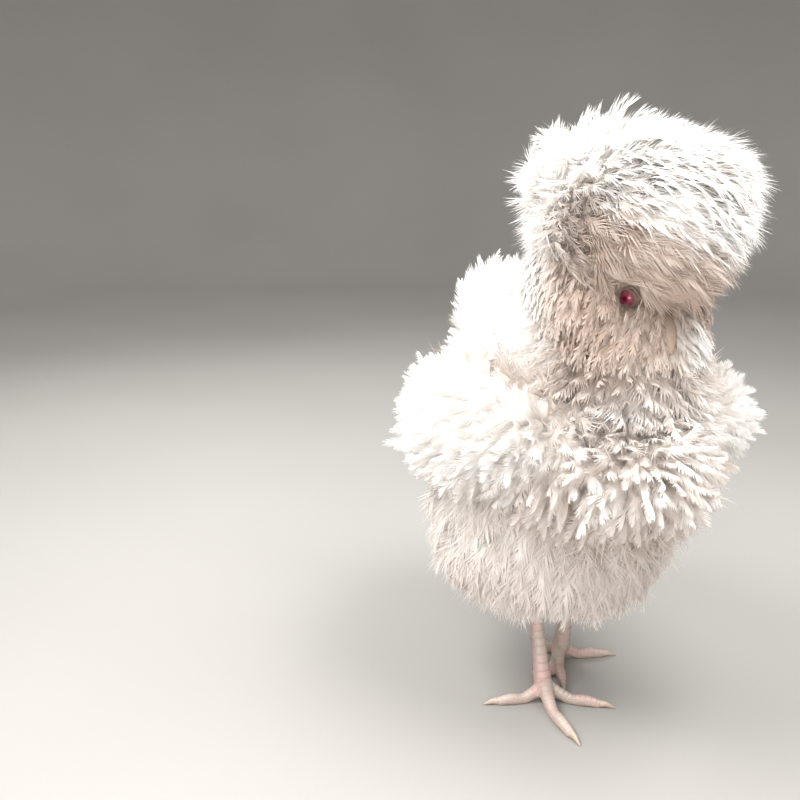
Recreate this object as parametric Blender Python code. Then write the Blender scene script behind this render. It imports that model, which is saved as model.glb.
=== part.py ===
"""A life-size still model of a white, frizzle-feathered crested hen, caught in mid step.

The hen faces -Y with its left side at +X and stands on z = 0. Every form is a loft or an ellipsoid of
named sizes. A coat is a core that reaches at most half way to the feather tips, and its feathers are
tapered, curling vanes rooted in that core. Metres throughout.
"""

import math
import random

import bpy
import bmesh
import numpy as np
from mathutils import Matrix, Vector
from mathutils.bvhtree import BVHTree

# Space kept between neighbouring pieces
GAP = 0.0003
# How far a loft's rounded end reaches, as a share of its end station
DOME = 0.6

# Finishes as (red, green, blue) and roughness
FEATHER_WHITE = ((0.90, 0.88, 0.84), 0.75)
FACE_SKIN = ((0.55, 0.30, 0.29), 0.6)
COMB_RED = ((0.68, 0.20, 0.22), 0.5)
EYE_RED = ((0.62, 0.10, 0.14), 0.1)
BEAK_HORN = ((0.72, 0.62, 0.52), 0.4)
LEG_SKIN = ((0.62, 0.53, 0.47), 0.6)
CLAW_HORN = ((0.70, 0.62, 0.54), 0.35)

# How deep the core of the coat lies over the skin
TORSO_COAT = 0.013
NECK_COAT = 0.008
THIGH_COAT = 0.006
WING_COAT = 0.006
TAIL_COAT = 0.004

# Torso stations from the tail base to the breast: y, z, half width, half height up, half height down
TORSO = (
    (0.094, 0.178, 0.014, 0.011, 0.014),
    (0.076, 0.170, 0.031, 0.024, 0.031),
    (0.046, 0.161, 0.045, 0.036, 0.045),
    (0.012, 0.157, 0.052, 0.043, 0.053),
    (-0.020, 0.159, 0.053, 0.045, 0.054),
    (-0.046, 0.164, 0.047, 0.040, 0.049),
    (-0.065, 0.168, 0.037, 0.031, 0.039),
    (-0.077, 0.170, 0.024, 0.020, 0.026),
)

# Neck stations from the shoulders to the skull: x, y, z, radius
NECK = (
    (0.000, -0.030, 0.196, 0.032),
    (0.001, -0.036, 0.214, 0.027),
    (0.002, -0.041, 0.231, 0.021),
    (0.003, -0.045, 0.248, 0.016),
)

# Head: its centre, its turn towards the hen's right and how far the bill dips
HEAD_CENTRE = Vector((0.0034, -0.0579, 0.2582))
HEAD_TURN = math.radians(7.0)
HEAD_DIP = math.radians(28.0)

# Skull stations in the head's own frame, back to front: forward, up, half width, half height
SKULL = (
    (-0.0215, 0.0015, 0.0060, 0.0060),
    (-0.0150, 0.0020, 0.0125, 0.0125),
    (-0.0060, 0.0020, 0.0150, 0.0155),
    (0.0030, 0.0010, 0.0142, 0.0150),
    (0.0105, 0.0000, 0.0118, 0.0126),
    (0.0170, -0.0015, 0.0088, 0.0098),
)
EYE_PLACE = Vector((0.0060, 0.0100, 0.0022))
EYE_RADIUS = 0.0052
LID_THICKNESS = 0.0011
# The clear view kept in front of each eye, in the head's own frame: its direction, reach and end radii
EYE_VIEW = Vector((0.70, 0.50, 0.51))
EYE_VIEW_REACH = 0.050
EYE_VIEW_RADII = (0.0060, 0.0090)

# Bill stations in the head's own frame: forward, up, half width, half height up, half height down
UPPER_BILL = (
    (0.0188, 0.0010, 0.0075, 0.0056, 0.0030),
    (0.0245, 0.0008, 0.0067, 0.0053, 0.0028),
    (0.0305, -0.0010, 0.0052, 0.0044, 0.0024),
    (0.0362, -0.0042, 0.0034, 0.0031, 0.0018),
    (0.0400, -0.0082, 0.0013, 0.0014, 0.0012),
)
LOWER_BILL = (
    (0.0188, -0.0062, 0.0064, 0.0026, 0.0030),
    (0.0252, -0.0066, 0.0055, 0.0024, 0.0026),
    (0.0315, -0.0080, 0.0039, 0.0018, 0.0020),
    (0.0362, -0.0101, 0.0018, 0.0010, 0.0012),
)
# Nostril in the upper bill, in the head's own frame: its place, its half sizes
NOSTRIL_PLACE = Vector((0.0245, 0.0056, 0.0038))
NOSTRIL_SIZES = (0.0026, 0.0014, 0.0009)

# Left horn of the V-shaped comb in the head's own frame: forward, left, up, radius
COMB_HORN = (
    (0.0150, 0.0012, 0.0098, 0.0030),
    (0.0178, 0.0036, 0.0135, 0.0026),
    (0.0195, 0.0056, 0.0165, 0.0013),
)

# The knob of the skull under the crest and the crest's core, as centres and radii
CREST_CENTRE = Vector((-0.001, -0.052, 0.294))
CREST_RADII = (0.037, 0.036, 0.030)
# Where the crest feathers part, seen from its centre
CREST_WHORL = Vector((-0.42, 0.20, 0.88)).normalized()

# The beard's core in the head's own frame
BEARD_CENTRE = Vector((0.014, 0.0, -0.0205))
BEARD_RADII = (0.0190, 0.0290, 0.0155)

# Wing stations from the shoulder to the folded tip, on the left side: x, y, z, thickness, height
WING = (
    (0.043, -0.052, 0.190, 0.010, 0.014),
    (0.050, -0.036, 0.186, 0.013, 0.025),
    (0.055, -0.004, 0.178, 0.013, 0.033),
    (0.054, 0.032, 0.170, 0.012, 0.029),
    (0.045, 0.064, 0.164, 0.009, 0.019),
    (0.036, 0.084, 0.160, 0.006, 0.010),
)

# Tail base stations, front to back: y, z, radius
TAIL_BASE = (
    (0.098, 0.182, 0.016),
    (0.111, 0.193, 0.015),
    (0.119, 0.206, 0.010),
)
# Tiers of tail feathers: how many, their spread to each side and their lift in degrees; the whole fan's skew
TAIL_TIERS = ((6, 24, 62), (4, 15, 72))
TAIL_SKEW = 38

# Legs, by side: the foot's place, the hock and the hip
LEGS = {
    "right": {"foot": (-0.0168, -0.0126), "hock": (-0.0180, 0.0100, 0.0860), "hip": (-0.030, 0.006, 0.128)},
    "left": {"foot": (0.0174, 0.0270), "hock": (0.0190, 0.0100, 0.0840), "hip": (0.030, 0.010, 0.128)},
}
# Thigh stations: share of the way from hip to hock, past 1 on down the shank; outward shift; radius
THIGH = (
    (0.0, 0.002, 0.024),
    (0.5, 0.004, 0.023),
    (0.9, 0.005, 0.018),
    (1.1, 0.003, 0.0125),
    (1.2, 0.001, 0.0095),
)
SHANK_RADII = (0.0066, 0.0048, 0.0044, 0.0058)
SHANK_END_Z = 0.0150
# The ankle: how high its stations begin, and its radii below the shank's end
ANKLE_LOW_Z = 0.0055
ANKLE_RADII = (0.0066, 0.0068)
SCUTE_COUNT = 8
SCUTE_STEP = 0.0007

# Toes: name, heading in degrees from straight ahead towards the hen's left, its bend on the way,
# length, root radius
TOES = {
    "right": (
        ("inner", 50.0, 14.0, 0.034, 0.0034),
        ("middle", -10.0, 26.0, 0.043, 0.0037),
        ("outer", -98.0, -22.0, 0.031, 0.0033),
        ("hind", 164.0, 0.0, 0.021, 0.0031),
    ),
    "left": (
        ("inner", -44.0, -8.0, 0.026, 0.0033),
        ("middle", -27.0, 6.0, 0.036, 0.0036),
        ("outer", 70.0, 8.0, 0.030, 0.0033),
        ("hind", 188.0, 0.0, 0.021, 0.0031),
    ),
}
# Along a toe: how high it lies over the sole, and its radius as a share of the root's
TOE_LIFT = (0.0040, 0.0022, 0.0, 0.0006, 0.0)
TOE_TAPER = (1.50, 1.14, 0.94, 0.96, 0.74)
CLAW_LENGTH = 0.0100
# Along a claw: share of its length, how far it has dropped, its radius as a share of the toe end's
CLAW = ((0, 0, 0.92), (0.35, -0.0004, 0.78), (0.7, 0.0006, 0.5), (1, 0.0014, 0.14))
SOLE_SINK = 0.0007

# A feather's stations: share of its length, and its half width there as a share of the widest
FEATHER_STATIONS = ((0.0, 0.45), (0.38, 1.0), (0.75, 0.80))
FEATHER_RIDGE = 0.0013
FEATHER_CUP = 0.12
FEATHER_SINK = 0.0045
# Space kept between a feather and everything of another node
FEATHER_GAP = 0.0005
# A distance from which the whole hen is ahead
FAR = 0.3
# What a feather tries until it is clear of its neighbours: degrees more rise, share of length, degrees aside
FEATHER_TRIES = (
    (0, 1.0, 0),
    (14, 1.0, 0),
    (0, 0.95, 35),
    (0, 0.95, -35),
    (26, 0.85, 0),
    (20, 0.80, 55),
    (20, 0.80, -55),
    (38, 0.70, 0),
    (0, 0.65, 0),
    (10, 0.55, 40),
    (10, 0.55, -40),
)

# Kinds of feather: length, half width, and in degrees the rise from the lie at root and tip and its spread
FEATHERS = {
    "crest_top": (0.033, 0.0072, 68, 34, 16),
    "crest_side": (0.036, 0.0078, 54, -14, 12),
    "crest_rim": (0.024, 0.0065, 26, -50, 10),
    "beard": (0.017, 0.0056, 40, 84, 14),
    "hackle": (0.027, 0.0088, 42, 84, 14),
    "breast": (0.030, 0.0105, 22, 108, 18),
    "body": (0.034, 0.0110, 20, 92, 16),
    "saddle": (0.042, 0.0105, 28, 96, 16),
    "belly": (0.034, 0.0095, 22, 42, 14),
    "covert": (0.027, 0.0110, 18, 92, 14),
    "flight": (0.050, 0.0085, 6, 34, 5),
    "tail_feather": (0.060, 0.0085, 0, 12, 2),
    "tail_covert": (0.031, 0.0085, 16, 70, 12),
    "thigh": (0.025, 0.0066, 24, 56, 12),
}


def head_frame():
    """The matrix from the head's own frame (forward, left, up) to the hen's."""
    level = Vector((-math.sin(HEAD_TURN), -math.cos(HEAD_TURN), 0))
    forward = level * math.cos(HEAD_DIP) - Vector((0, 0, math.sin(HEAD_DIP)))
    left = Vector((0, 0, 1)).cross(level)
    up = forward.cross(left)
    frame = Matrix((forward, left, up)).transposed().to_4x4()
    frame.translation = HEAD_CENTRE
    return frame


HEAD = head_frame()


def material(name, finish):
    """A plain finish of one colour."""
    colour, roughness = finish
    made = bpy.data.materials.new(name)
    made.use_nodes = True
    shader = made.node_tree.nodes["Principled BSDF"]
    shader.inputs["Base Color"].default_value = (*colour, 1)
    shader.inputs["Roughness"].default_value = roughness
    shader.inputs["Metallic"].default_value = 0
    return made


def smooth(rows, count):
    """Rows of numbers drawn through by a Catmull-Rom curve and read again at count places."""
    rows = np.array(rows, float)
    last = len(rows) - 1
    drawn = []
    for place in np.linspace(0, last, count):
        i = min(int(place), last - 1)
        f = place - i
        before, here, there, after = rows[max(i - 1, 0)], rows[i], rows[i + 1], rows[min(i + 2, last)]
        cubic = 2 * here + (there - before) * f
        cubic += (2 * before - 5 * here + 4 * there - after) * f**2
        cubic += (3 * here - before - 3 * there + after) * f**3
        drawn.append(cubic / 2)
    return drawn


def mesh_object(name, points, faces):
    """A closed mesh object of triangles that face out, split alike however far the form is grown."""
    mesh = bpy.data.meshes.new(name)
    mesh.from_pydata([tuple(p) for p in points], [], faces)
    work = bmesh.new()
    work.from_mesh(mesh)
    bmesh.ops.triangulate(work, faces=work.faces, quad_method="FIXED")
    bmesh.ops.recalc_face_normals(work, faces=work.faces)
    work.to_mesh(mesh)
    work.free()
    made = bpy.data.objects.new(name, mesh)
    bpy.context.scene.collection.objects.link(made)
    return made


def section_ring(centre, side, top, halves, sides, share=1.0):
    """Points of an oval section: halves are its half width, height up and height down."""
    points = []
    for k in range(sides):
        turn = 2 * math.pi * k / sides
        high = halves[1] if math.sin(turn) > 0 else halves[2]
        points.append(centre + (side * (math.cos(turn) * halves[0]) + top * (math.sin(turn) * high)) * share)
    return points


def loft(name, stations, sides, rings, grow=0.0, domes=(2, 2), up=(0, 0, 1)):
    """A closed form through stations of (x, y, z, half width, half height up, half height down).

    grow moves the whole surface out. domes gives the rings of the rounded cap at each end, 0 for flat.
    """
    rows = smooth(stations, rings)
    centres = [Vector(row[:3]) for row in rows]
    sections = []
    for i, row in enumerate(rows):
        along = (centres[min(i + 1, rings - 1)] - centres[max(i - 1, 0)]).normalized()
        side = along.cross(Vector(up)).normalized()
        sections.append((centres[i], side, side.cross(along), row[3:6] + grow, along))

    def dome(section, sign, count, raw):
        centre, side, top, halves, along = section
        depth = sign * (grow + DOME * raw) if count else 0
        rise = [math.pi / 2 * (k + 1) / (count + 1) for k in range(count)]
        rounded = []
        for angle in rise:
            middle = centre + along * (depth * math.sin(angle))
            rounded.append(section_ring(middle, side, top, halves, sides, math.cos(angle)))
        return rounded, centre + along * depth

    first_rings, first_pole = dome(sections[0], -1, domes[0], min(rows[0][3:6]))
    last_rings, last_pole = dome(sections[-1], 1, domes[1], min(rows[-1][3:6]))
    middle_rings = [section_ring(*section[:4], sides) for section in sections]
    all_rings = first_rings[::-1] + middle_rings + last_rings
    points = [p for ring in all_rings for p in ring] + [first_pole, last_pole]
    faces = []
    for r in range(len(all_rings) - 1):
        for k in range(sides):
            a, b = r * sides + k, r * sides + (k + 1) % sides
            faces.append((a, b, b + sides, a + sides))
    start, end, top_ring = len(points) - 2, len(points) - 1, (len(all_rings) - 1) * sides
    for k in range(sides):
        faces.append((start, (k + 1) % sides, k))
        faces.append((end, top_ring + k, top_ring + (k + 1) % sides))
    return mesh_object(name, points, faces)


def ball(name, centre, radii, frame=None, segments=16, rings=10):
    """An ellipsoid from a sphere primitive, set in a frame."""
    mesh = bpy.data.meshes.new(name)
    work = bmesh.new()
    bmesh.ops.create_uvsphere(work, u_segments=segments, v_segments=rings, radius=1)
    place = (frame or Matrix()) @ Matrix.Translation(centre) @ Matrix.Diagonal((*radii, 1))
    bmesh.ops.transform(work, matrix=place, verts=work.verts)
    bmesh.ops.triangulate(work, faces=work.faces, quad_method="FIXED")
    bmesh.ops.recalc_face_normals(work, faces=work.faces)
    work.to_mesh(mesh)
    work.free()
    made = bpy.data.objects.new(name, mesh)
    bpy.context.scene.collection.objects.link(made)
    return made


def in_head(stations):
    """Stations given in the head's frame as (forward, up, half width, up, down), moved to the hen's."""
    return [(*(HEAD @ Vector((f, 0, u))), *halves) for f, u, *halves in stations]


def mirrored(place, side):
    """A place given for the left side, on the side asked for."""
    return Vector((place[0], place[1] if side == "left" else -place[1], place[2]))


def applied(obj):
    """The object with its modifiers made part of its mesh."""
    graph = bpy.context.evaluated_depsgraph_get()
    mesh = bpy.data.meshes.new_from_object(obj.evaluated_get(graph))
    old = obj.data
    obj.modifiers.clear()
    obj.data = mesh
    bpy.data.meshes.remove(old)
    mesh.name = obj.name
    return obj


def is_closed(obj):
    """Whether every edge of the evaluated mesh joins two faces."""
    work = bmesh.new()
    work.from_object(obj, bpy.context.evaluated_depsgraph_get())
    closed = all(edge.is_manifold for edge in work.edges)
    work.free()
    return closed


def cut(obj, *cutters):
    """obj without the room that the cutters take; the cutters are then removed."""
    for cutter in cutters:
        modifier = obj.modifiers.new("cut", "BOOLEAN")
        modifier.operation = "DIFFERENCE"
        modifier.solver = "EXACT"
        modifier.object = cutter
    applied(obj)
    for cutter in cutters:
        bpy.data.objects.remove(cutter)
    return keep_largest(obj)


def fused(obj, pieces):
    """obj and its pieces as one body: one union over a collection, then its largest closed surface."""
    group = bpy.data.collections.new(obj.name + "_pieces")
    for piece in pieces:
        for home in list(piece.users_collection):
            home.objects.unlink(piece)
        group.objects.link(piece)
    modifier = obj.modifiers.new("join", "BOOLEAN")
    modifier.operation = "UNION"
    modifier.operand_type = "COLLECTION"
    modifier.collection = group
    modifier.solver = "EXACT"
    if not is_closed(obj):
        modifier.solver = "MANIFOLD"
    applied(obj)
    for piece in pieces:
        bpy.data.objects.remove(piece)
    bpy.data.collections.remove(group)
    return keep_largest(obj)


def keep_largest(obj):
    """The object with only the largest closed surface of its mesh."""
    work = bmesh.new()
    work.from_mesh(obj.data)
    unseen = set(work.verts)
    shells = []
    while unseen:
        shell, edge = [], [unseen.pop()]
        while edge:
            vertex = edge.pop()
            shell.append(vertex)
            for link in vertex.link_edges:
                other = link.other_vert(vertex)
                if other in unseen:
                    unseen.remove(other)
                    edge.append(other)
        shells.append(shell)
    shells.sort(key=len)
    bmesh.ops.delete(work, geom=[v for shell in shells[:-1] for v in shell], context="VERTS")
    work.to_mesh(obj.data)
    work.free()
    return obj


def torso_core(grow=0.0):
    rows = [(0, y, z, wide, up, down) for y, z, wide, up, down in TORSO]
    return loft("torso", rows, 16, 10, TORSO_COAT + grow, (2, 2))


def neck_core(grow=0.0):
    rows = [(x, y, z, r, r, r) for x, y, z, r in NECK]
    return loft("neck", rows, 14, 5, NECK_COAT + grow, (1, 1), up=(0, -1, 0))


def head_core(grow=0.0):
    rows = in_head([(f, u, wide, high, high) for f, u, wide, high in SKULL])
    return loft("head", rows, 12, 7, grow, (1, 1))


def crest_core(grow=0.0):
    return ball("crest", CREST_CENTRE, [r + grow for r in CREST_RADII], None, 16, 9)


def beard_core(grow=0.0):
    return ball("beard", BEARD_CENTRE, [r + grow for r in BEARD_RADII], HEAD, 14, 8)


def wing_core(side, grow=0.0):
    sign = 1 if side == "left" else -1
    rows = [(sign * x, y, z, thick, high, high) for x, y, z, thick, high in WING]
    return loft("wing_" + side, rows, 12, 7, WING_COAT + grow, (1, 1))


def tail_core(grow=0.0):
    rows = [(0, y, z, r, r * 0.8, r * 0.8) for y, z, r in TAIL_BASE]
    return loft("tail", rows, 12, 4, TAIL_COAT + grow, (1, 1))


def upper_bill(grow=0.0):
    return loft("beak_upper", in_head(UPPER_BILL), 10, 7, grow, (0, 1))


def lower_bill(grow=0.0):
    return loft("beak_lower", in_head(LOWER_BILL), 10, 6, grow, (0, 1))


def nostril(side):
    return ball("nostril", mirrored(NOSTRIL_PLACE, side), NOSTRIL_SIZES, HEAD, 8, 5)


def eyeball(side, grow=0.0):
    return ball("eye_" + side, mirrored(EYE_PLACE, side), [EYE_RADIUS + grow] * 3, HEAD, 12, 7)


def eye_view(side, grow=0.0):
    """The clear view in front of an eye, which no feather of the solids crosses."""
    start, along = mirrored(EYE_PLACE, side), mirrored(EYE_VIEW, side)
    rows = []
    for share, radius in zip((0.0, 1.0), EYE_VIEW_RADII):
        rows.append((*(HEAD @ (start + along * (EYE_VIEW_REACH * share))), radius, radius, radius))
    return loft("eye_view", rows, 12, 3, grow, (1, 1))


def comb(grow=0.0):
    """The small V-shaped comb: two horns that share a root."""
    horns = []
    for side in ("left", "right"):
        rows = [(*(HEAD @ mirrored(place, side)), r, r, r) for *place, r in COMB_HORN]
        horns.append(loft("comb", rows, 7, 3, grow, (1, 1)))
    return fused(horns[0], horns[1:])


def thigh_core(side, grow=0.0):
    leg = LEGS[side]
    hip, hock, sole = Vector(leg["hip"]), Vector(leg["hock"]), Vector((*leg["foot"], 0))
    outward = Vector((1 if side == "left" else -1, 0, 0))
    rows = []
    for share, shift, radius in THIGH:
        centre = hip.lerp(hock, share) if share < 1 else hock.lerp(sole, share - 1)
        rows.append((*(centre + outward * shift), radius, radius, radius))
    return loft("thigh_" + side, rows, 14, 7, THIGH_COAT + grow, (1, 1), up=(0, -1, 0))


def shank(side, grow=0.0):
    """The shank, with its front scutes as steps in its own surface."""
    leg = LEGS[side]
    foot_place, hock = Vector((*leg["foot"], 0.0)), Vector(leg["hock"])
    low = foot_place.lerp(hock, SHANK_END_Z / hock.z)
    radii = smooth([(r,) for r in SHANK_RADII], 2 * SCUTE_COUNT + 1)
    rows = []
    for k, (radius,) in enumerate(radii):
        raised = radius + (SCUTE_STEP if k % 2 else 0)
        rows.append((*hock.lerp(low, k / (2 * SCUTE_COUNT)), radius, raised, radius))
    return loft("shank_" + side, rows, 8, len(rows), grow, (1, 0), up=(0, -1, 0))


def toe_path(side, heading, bend, length, radius):
    """Stations from the foot's pad to the claw's root, with their undersides just below the floor."""
    last = len(TOE_LIFT) - 1
    place = Vector((*LEGS[side]["foot"], 0))
    rows = []
    for k, (rise, share) in enumerate(zip(TOE_LIFT, TOE_TAPER)):
        turn = math.radians(heading + bend * ((k - 0.5) / last - 0.5))
        ahead = Vector((math.sin(turn), -math.cos(turn), 0))
        if k:
            place += ahead * (length / last)
        thick = radius * share
        rows.append((place.x, place.y, thick - SOLE_SINK + rise, thick, thick, thick))
    return rows, ahead


def toe(side, index, grow=0.0):
    rows, _ = toe_path(side, *TOES[side][index][1:])
    return loft(f"toe_{side}_{index}", rows, 7, 6, grow, (1, 1))


def foot(side):
    """The pad, the lower ankle and four toes as one body, with its soles cut flat."""
    leg = LEGS[side]
    base, hock = Vector((*leg["foot"], 0)), Vector(leg["hock"])
    heights = np.linspace(ANKLE_LOW_Z, SHANK_END_Z - GAP, 3)
    stub = []
    for height, radius in zip(heights, (*ANKLE_RADII, SHANK_RADII[-1])):
        stub.append((*base.lerp(hock, height / hock.z), radius, radius, radius))
    body = loft("foot_" + side, stub, 8, 3, 0.0, (1, 0), up=(0, -1, 0))
    fused(body, [toe(side, index) for index in range(len(TOES[side]))])
    bpy.ops.mesh.primitive_cube_add(size=1, location=(*leg["foot"], -0.05), scale=(0.4, 0.4, 0.1))
    return cut(body, bpy.context.object)


def claw(side, index):
    """A curved claw that seats on the toe's end and comes down to the floor."""
    rows, ahead = toe_path(side, *TOES[side][index][1:])
    end, thick = Vector(rows[-1][:3]), rows[-1][3]
    stations = []
    for share, drop, slim in CLAW:
        r = thick * slim
        centre = end + ahead * (CLAW_LENGTH * share) - Vector((0, 0, drop))
        centre.z = max(centre.z, r + GAP)
        stations.append((*centre, r, r, r))
    horn = loft(f"claw_{side}_{TOES[side][index][0]}", stations, 5, 4, 0.0, (0, 1))
    return cut(horn, toe(side, index, GAP))


def head():
    """The skull with lids round the eyes and the eyes' sockets cut into it."""
    lids = []
    for side in LEGS:
        bpy.ops.mesh.primitive_torus_add(
            major_radius=EYE_RADIUS * 0.86, minor_radius=LID_THICKNESS, major_segments=12, minor_segments=5
        )
        lid = bpy.context.object
        outward = mirrored((0.25, 1.0, 0.1), side).normalized()
        place = mirrored(EYE_PLACE, side) + outward * EYE_RADIUS * 0.42
        facing = outward.to_track_quat("Z", "Y").to_matrix().to_4x4()
        lid.matrix_world = HEAD @ Matrix.Translation(place) @ facing
        lids.append(lid)
    skull = fused(head_core(), lids)
    return cut(skull, *[eyeball(side, GAP) for side in LEGS])


def other_half(side):
    """A box over the other side of the middle plane."""
    sign = -1 if side == "left" else 1
    bpy.ops.mesh.primitive_cube_add(size=1, location=(sign * (0.2 - GAP / 2), 0, 0.1), scale=(0.4, 0.4, 0.4))
    return bpy.context.object


def tree_of(obj):
    """A search tree over the object's surface."""
    return BVHTree.FromPolygons([v.co for v in obj.data.vertices], [f.vertices for f in obj.data.polygons])


def inside(tree, point):
    """Whether a point lies under the surface of the tree."""
    place, normal, _, _ = tree.find_nearest(point)
    return (point - place).dot(normal) < 0


class Feather:
    """One tapered vane with a ridge along its shaft, rooted under the surface of its core."""

    def __init__(self, root, normal, lie, kind, chance):
        length, half_width, self.root_rise, self.tip_rise, spread = FEATHERS[kind]
        self.root, self.normal = root, normal
        flat = lie - normal * lie.dot(normal)
        turn = math.radians(chance.uniform(-spread, spread))
        self.lie = (Matrix.Rotation(turn, 3, normal) @ flat).normalized()
        self.length = length * chance.uniform(0.86, 1.12)
        self.half_width = half_width * chance.uniform(0.88, 1.12)
        self.root_rise += chance.uniform(-7, 7)
        self.tip_rise += chance.uniform(-14, 14)
        self.sway = math.radians(chance.uniform(-spread, spread)) * 0.8

    def points(self, more_rise, share, aside, spare=0.0):
        """Left edge, ridge and right edge at each station, then the tip; spare fattens the vane all round."""
        length = self.length * share + spare
        place = self.root - self.normal * FEATHER_SINK
        lie = Matrix.Rotation(math.radians(aside), 3, self.normal) @ self.lie
        across = lie.cross(self.normal)
        found, last = [], 0.0
        for at, wide in (*FEATHER_STATIONS, (1.0, 0.0)):
            middle = (at + last) / 2
            rise = math.radians(self.root_rise + (self.tip_rise + more_rise - self.root_rise) * middle)
            turn = self.sway * middle
            flat = lie * math.cos(turn) + across * math.sin(turn)
            along = flat * math.cos(rise) + self.normal * math.sin(rise)
            crown = self.normal * math.cos(rise) - flat * math.sin(rise)
            place = place + along * ((length + FEATHER_SINK) * (at - last))
            last = at
            if not wide:
                break
            side = along.cross(crown)
            half = self.half_width * wide * (0.6 + 0.4 * share) + spare
            ridge = FEATHER_RIDGE + FEATHER_CUP * half + spare
            base = place - crown * spare
            found += [base - side * half, place + crown * ridge, base + side * half]
        return found + [place]

    @staticmethod
    def faces():
        """The triangles over those points, split alike on both sides of the ridge."""
        last = len(FEATHER_STATIONS) - 1
        tip = 3 * len(FEATHER_STATIONS)
        found = [(0, 1, 2)]
        for a in range(0, 3 * last, 3):
            b = a + 3
            found += [(a, b, b + 1), (a, b + 1, a + 1)]
            found += [(a + 2, b + 1, b + 2), (a + 2, a + 1, b + 1)]
            found += [(a, a + 2, b + 2), (a, b + 2, b)]
        a = 3 * last
        return found + [(a, tip, a + 1), (a + 1, tip, a + 2), (a + 2, tip, a)]


class Plumage:
    """The feathers of every node, each kept clear of all other nodes and of their feathers."""

    def __init__(self, cores, guards):
        self.cores = {obj.name: obj for obj in cores}
        self.trees = {name: [tree_of(obj)] for name, obj in self.cores.items()}
        self.guards = [tree_of(obj) for obj in guards]
        self.pieces = {name: [] for name in self.cores}

    def plant(self, name, origin, direction, flow, kind, chance):
        """Roots a feather on the core's outside, where one looks back from a direction to the origin."""
        root, normal, _, _ = self.trees[name][0].ray_cast(origin + direction * FAR, -direction)
        if root is not None and (root - origin).dot(direction) > 0:
            self.plant_at(name, root, normal, flow(root), kind, chance)

    def plant_at(self, name, root, normal, lie, kind, chance):
        """Roots a feather at a place, bent or shortened until it is clear, or leaves it out."""
        feather = Feather(root, normal, lie, kind, chance)
        for change in FEATHER_TRIES:
            points = feather.points(*change)
            if not all(inside(self.trees[name][0], p) for p in points[:3]):
                continue
            fat = BVHTree.FromPolygons(feather.points(*change, FEATHER_GAP), Feather.faces())
            if min(p.z for p in points) > GAP and self.is_clear(name, fat):
                self.pieces[name].append(points)
                self.trees[name].append(BVHTree.FromPolygons(points, Feather.faces()))
                return

    def is_clear(self, name, tree):
        """Whether a feather's tree crosses no other node's core or feathers, and no guarded room."""
        others = [t for other, trees in self.trees.items() if other != name for t in trees]
        return not any(tree.overlap(t) for t in others + self.guards)

    def fuse(self, name):
        """Joins a node's feathers to its core."""
        pieces = [mesh_object("feather", points, Feather.faces()) for points in self.pieces[name]]
        return fused(self.cores[name], pieces)


def ring_directions(pole, rows):
    """Directions in rows of (degrees from the pole, count), every other row turned by half a step."""
    side = pole.cross(Vector((0, 0, 1)) if abs(pole.z) < 0.9 else Vector((0, 1, 0))).normalized()
    top = side.cross(pole)
    for row, (angle, count) in enumerate(rows):
        lean = math.radians(angle)
        for k in range(count):
            turn = 2 * math.pi * (k + 0.5 * (row % 2)) / count
            outward = side * math.cos(turn) + top * math.sin(turn)
            yield angle, pole * math.cos(lean) + outward * math.sin(lean)


def towards(direction):
    """A lie that follows one direction over the surface."""

    def flow(root):
        return direction

    return flow


def torso_lie(root):
    """Down and out over the breast, back along the body, up to the tail, and straight down below."""
    front = min(max((0.01 - root.y) / 0.08, 0), 1)
    rump = min(max((root.y - 0.05) / 0.05, 0), 1)
    low = min(max((0.150 - root.z) / 0.03, 0), 1)
    aside = root.x / 0.06
    lie = Vector((aside * (0.45 * front + 0.1), 1.0 - 1.1 * front, -0.35 - 0.75 * front + 0.45 * rump))
    return lie.lerp(Vector((aside * 0.4, 0.1, -1.0)), low)


def neck_lie(root):
    return Vector((root.x * 6, root.y * 2 + 0.25, -1))


def beard_lie(root):
    middle = HEAD @ BEARD_CENTRE
    return Vector(((root.x - middle.x) * 40, (root.y - middle.y) * 15, -0.9))


def thigh_lie(root):
    return Vector((root.x * 4, -0.1, -1))


WING_LIE = Vector((0, 1, -0.35))


def plant_crest(plumage, chance):
    rows = ((8, 3), (26, 7), (44, 11), (61, 14), (78, 16), (96, 15), (114, 11))
    for angle, direction in ring_directions(CREST_WHORL, rows):
        kind = "crest_top" if direction.z > 0.72 else "crest_side" if direction.z > 0 else "crest_rim"
        plumage.plant("crest", CREST_CENTRE, direction, towards(-CREST_WHORL), kind, chance)


def plant_beard(plumage, chance):
    pole = (HEAD.to_3x3() @ Vector((0.5, 0, -1))).normalized()
    for _, direction in ring_directions(pole, ((12, 3), (45, 7), (78, 9))):
        plumage.plant("beard", HEAD @ BEARD_CENTRE, direction, beard_lie, "beard", chance)


def plant_neck(plumage, chance):
    rows = smooth([row[:3] for row in NECK], 5)
    for k, (place, count) in enumerate(zip(rows, (14, 14, 12, 10, 9))):
        for turn in (np.arange(count) + 0.5 * (k % 2)) * 2 * math.pi / count:
            direction = Vector((math.sin(turn), -math.cos(turn), 0.2)).normalized()
            plumage.plant("neck", Vector(place), direction, neck_lie, "hackle", chance)


def plant_torso(plumage, chance):
    centre = Vector((0, 0.004, 0.162))
    rows = (
        (7, 3), (20, 7), (34, 11), (47, 13), (60, 13), (75, 12), (91, 12),
        (107, 11), (123, 10), (138, 8), (154, 5),
    )
    for angle, direction in ring_directions(Vector((0, -1, 0)), rows):
        low, high = direction.z < -0.22, direction.z > 0.5
        kind = "belly" if low else "breast" if angle < 60 else "saddle" if high else "body"
        plumage.plant("torso", centre, direction, torso_lie, kind, chance)


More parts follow.
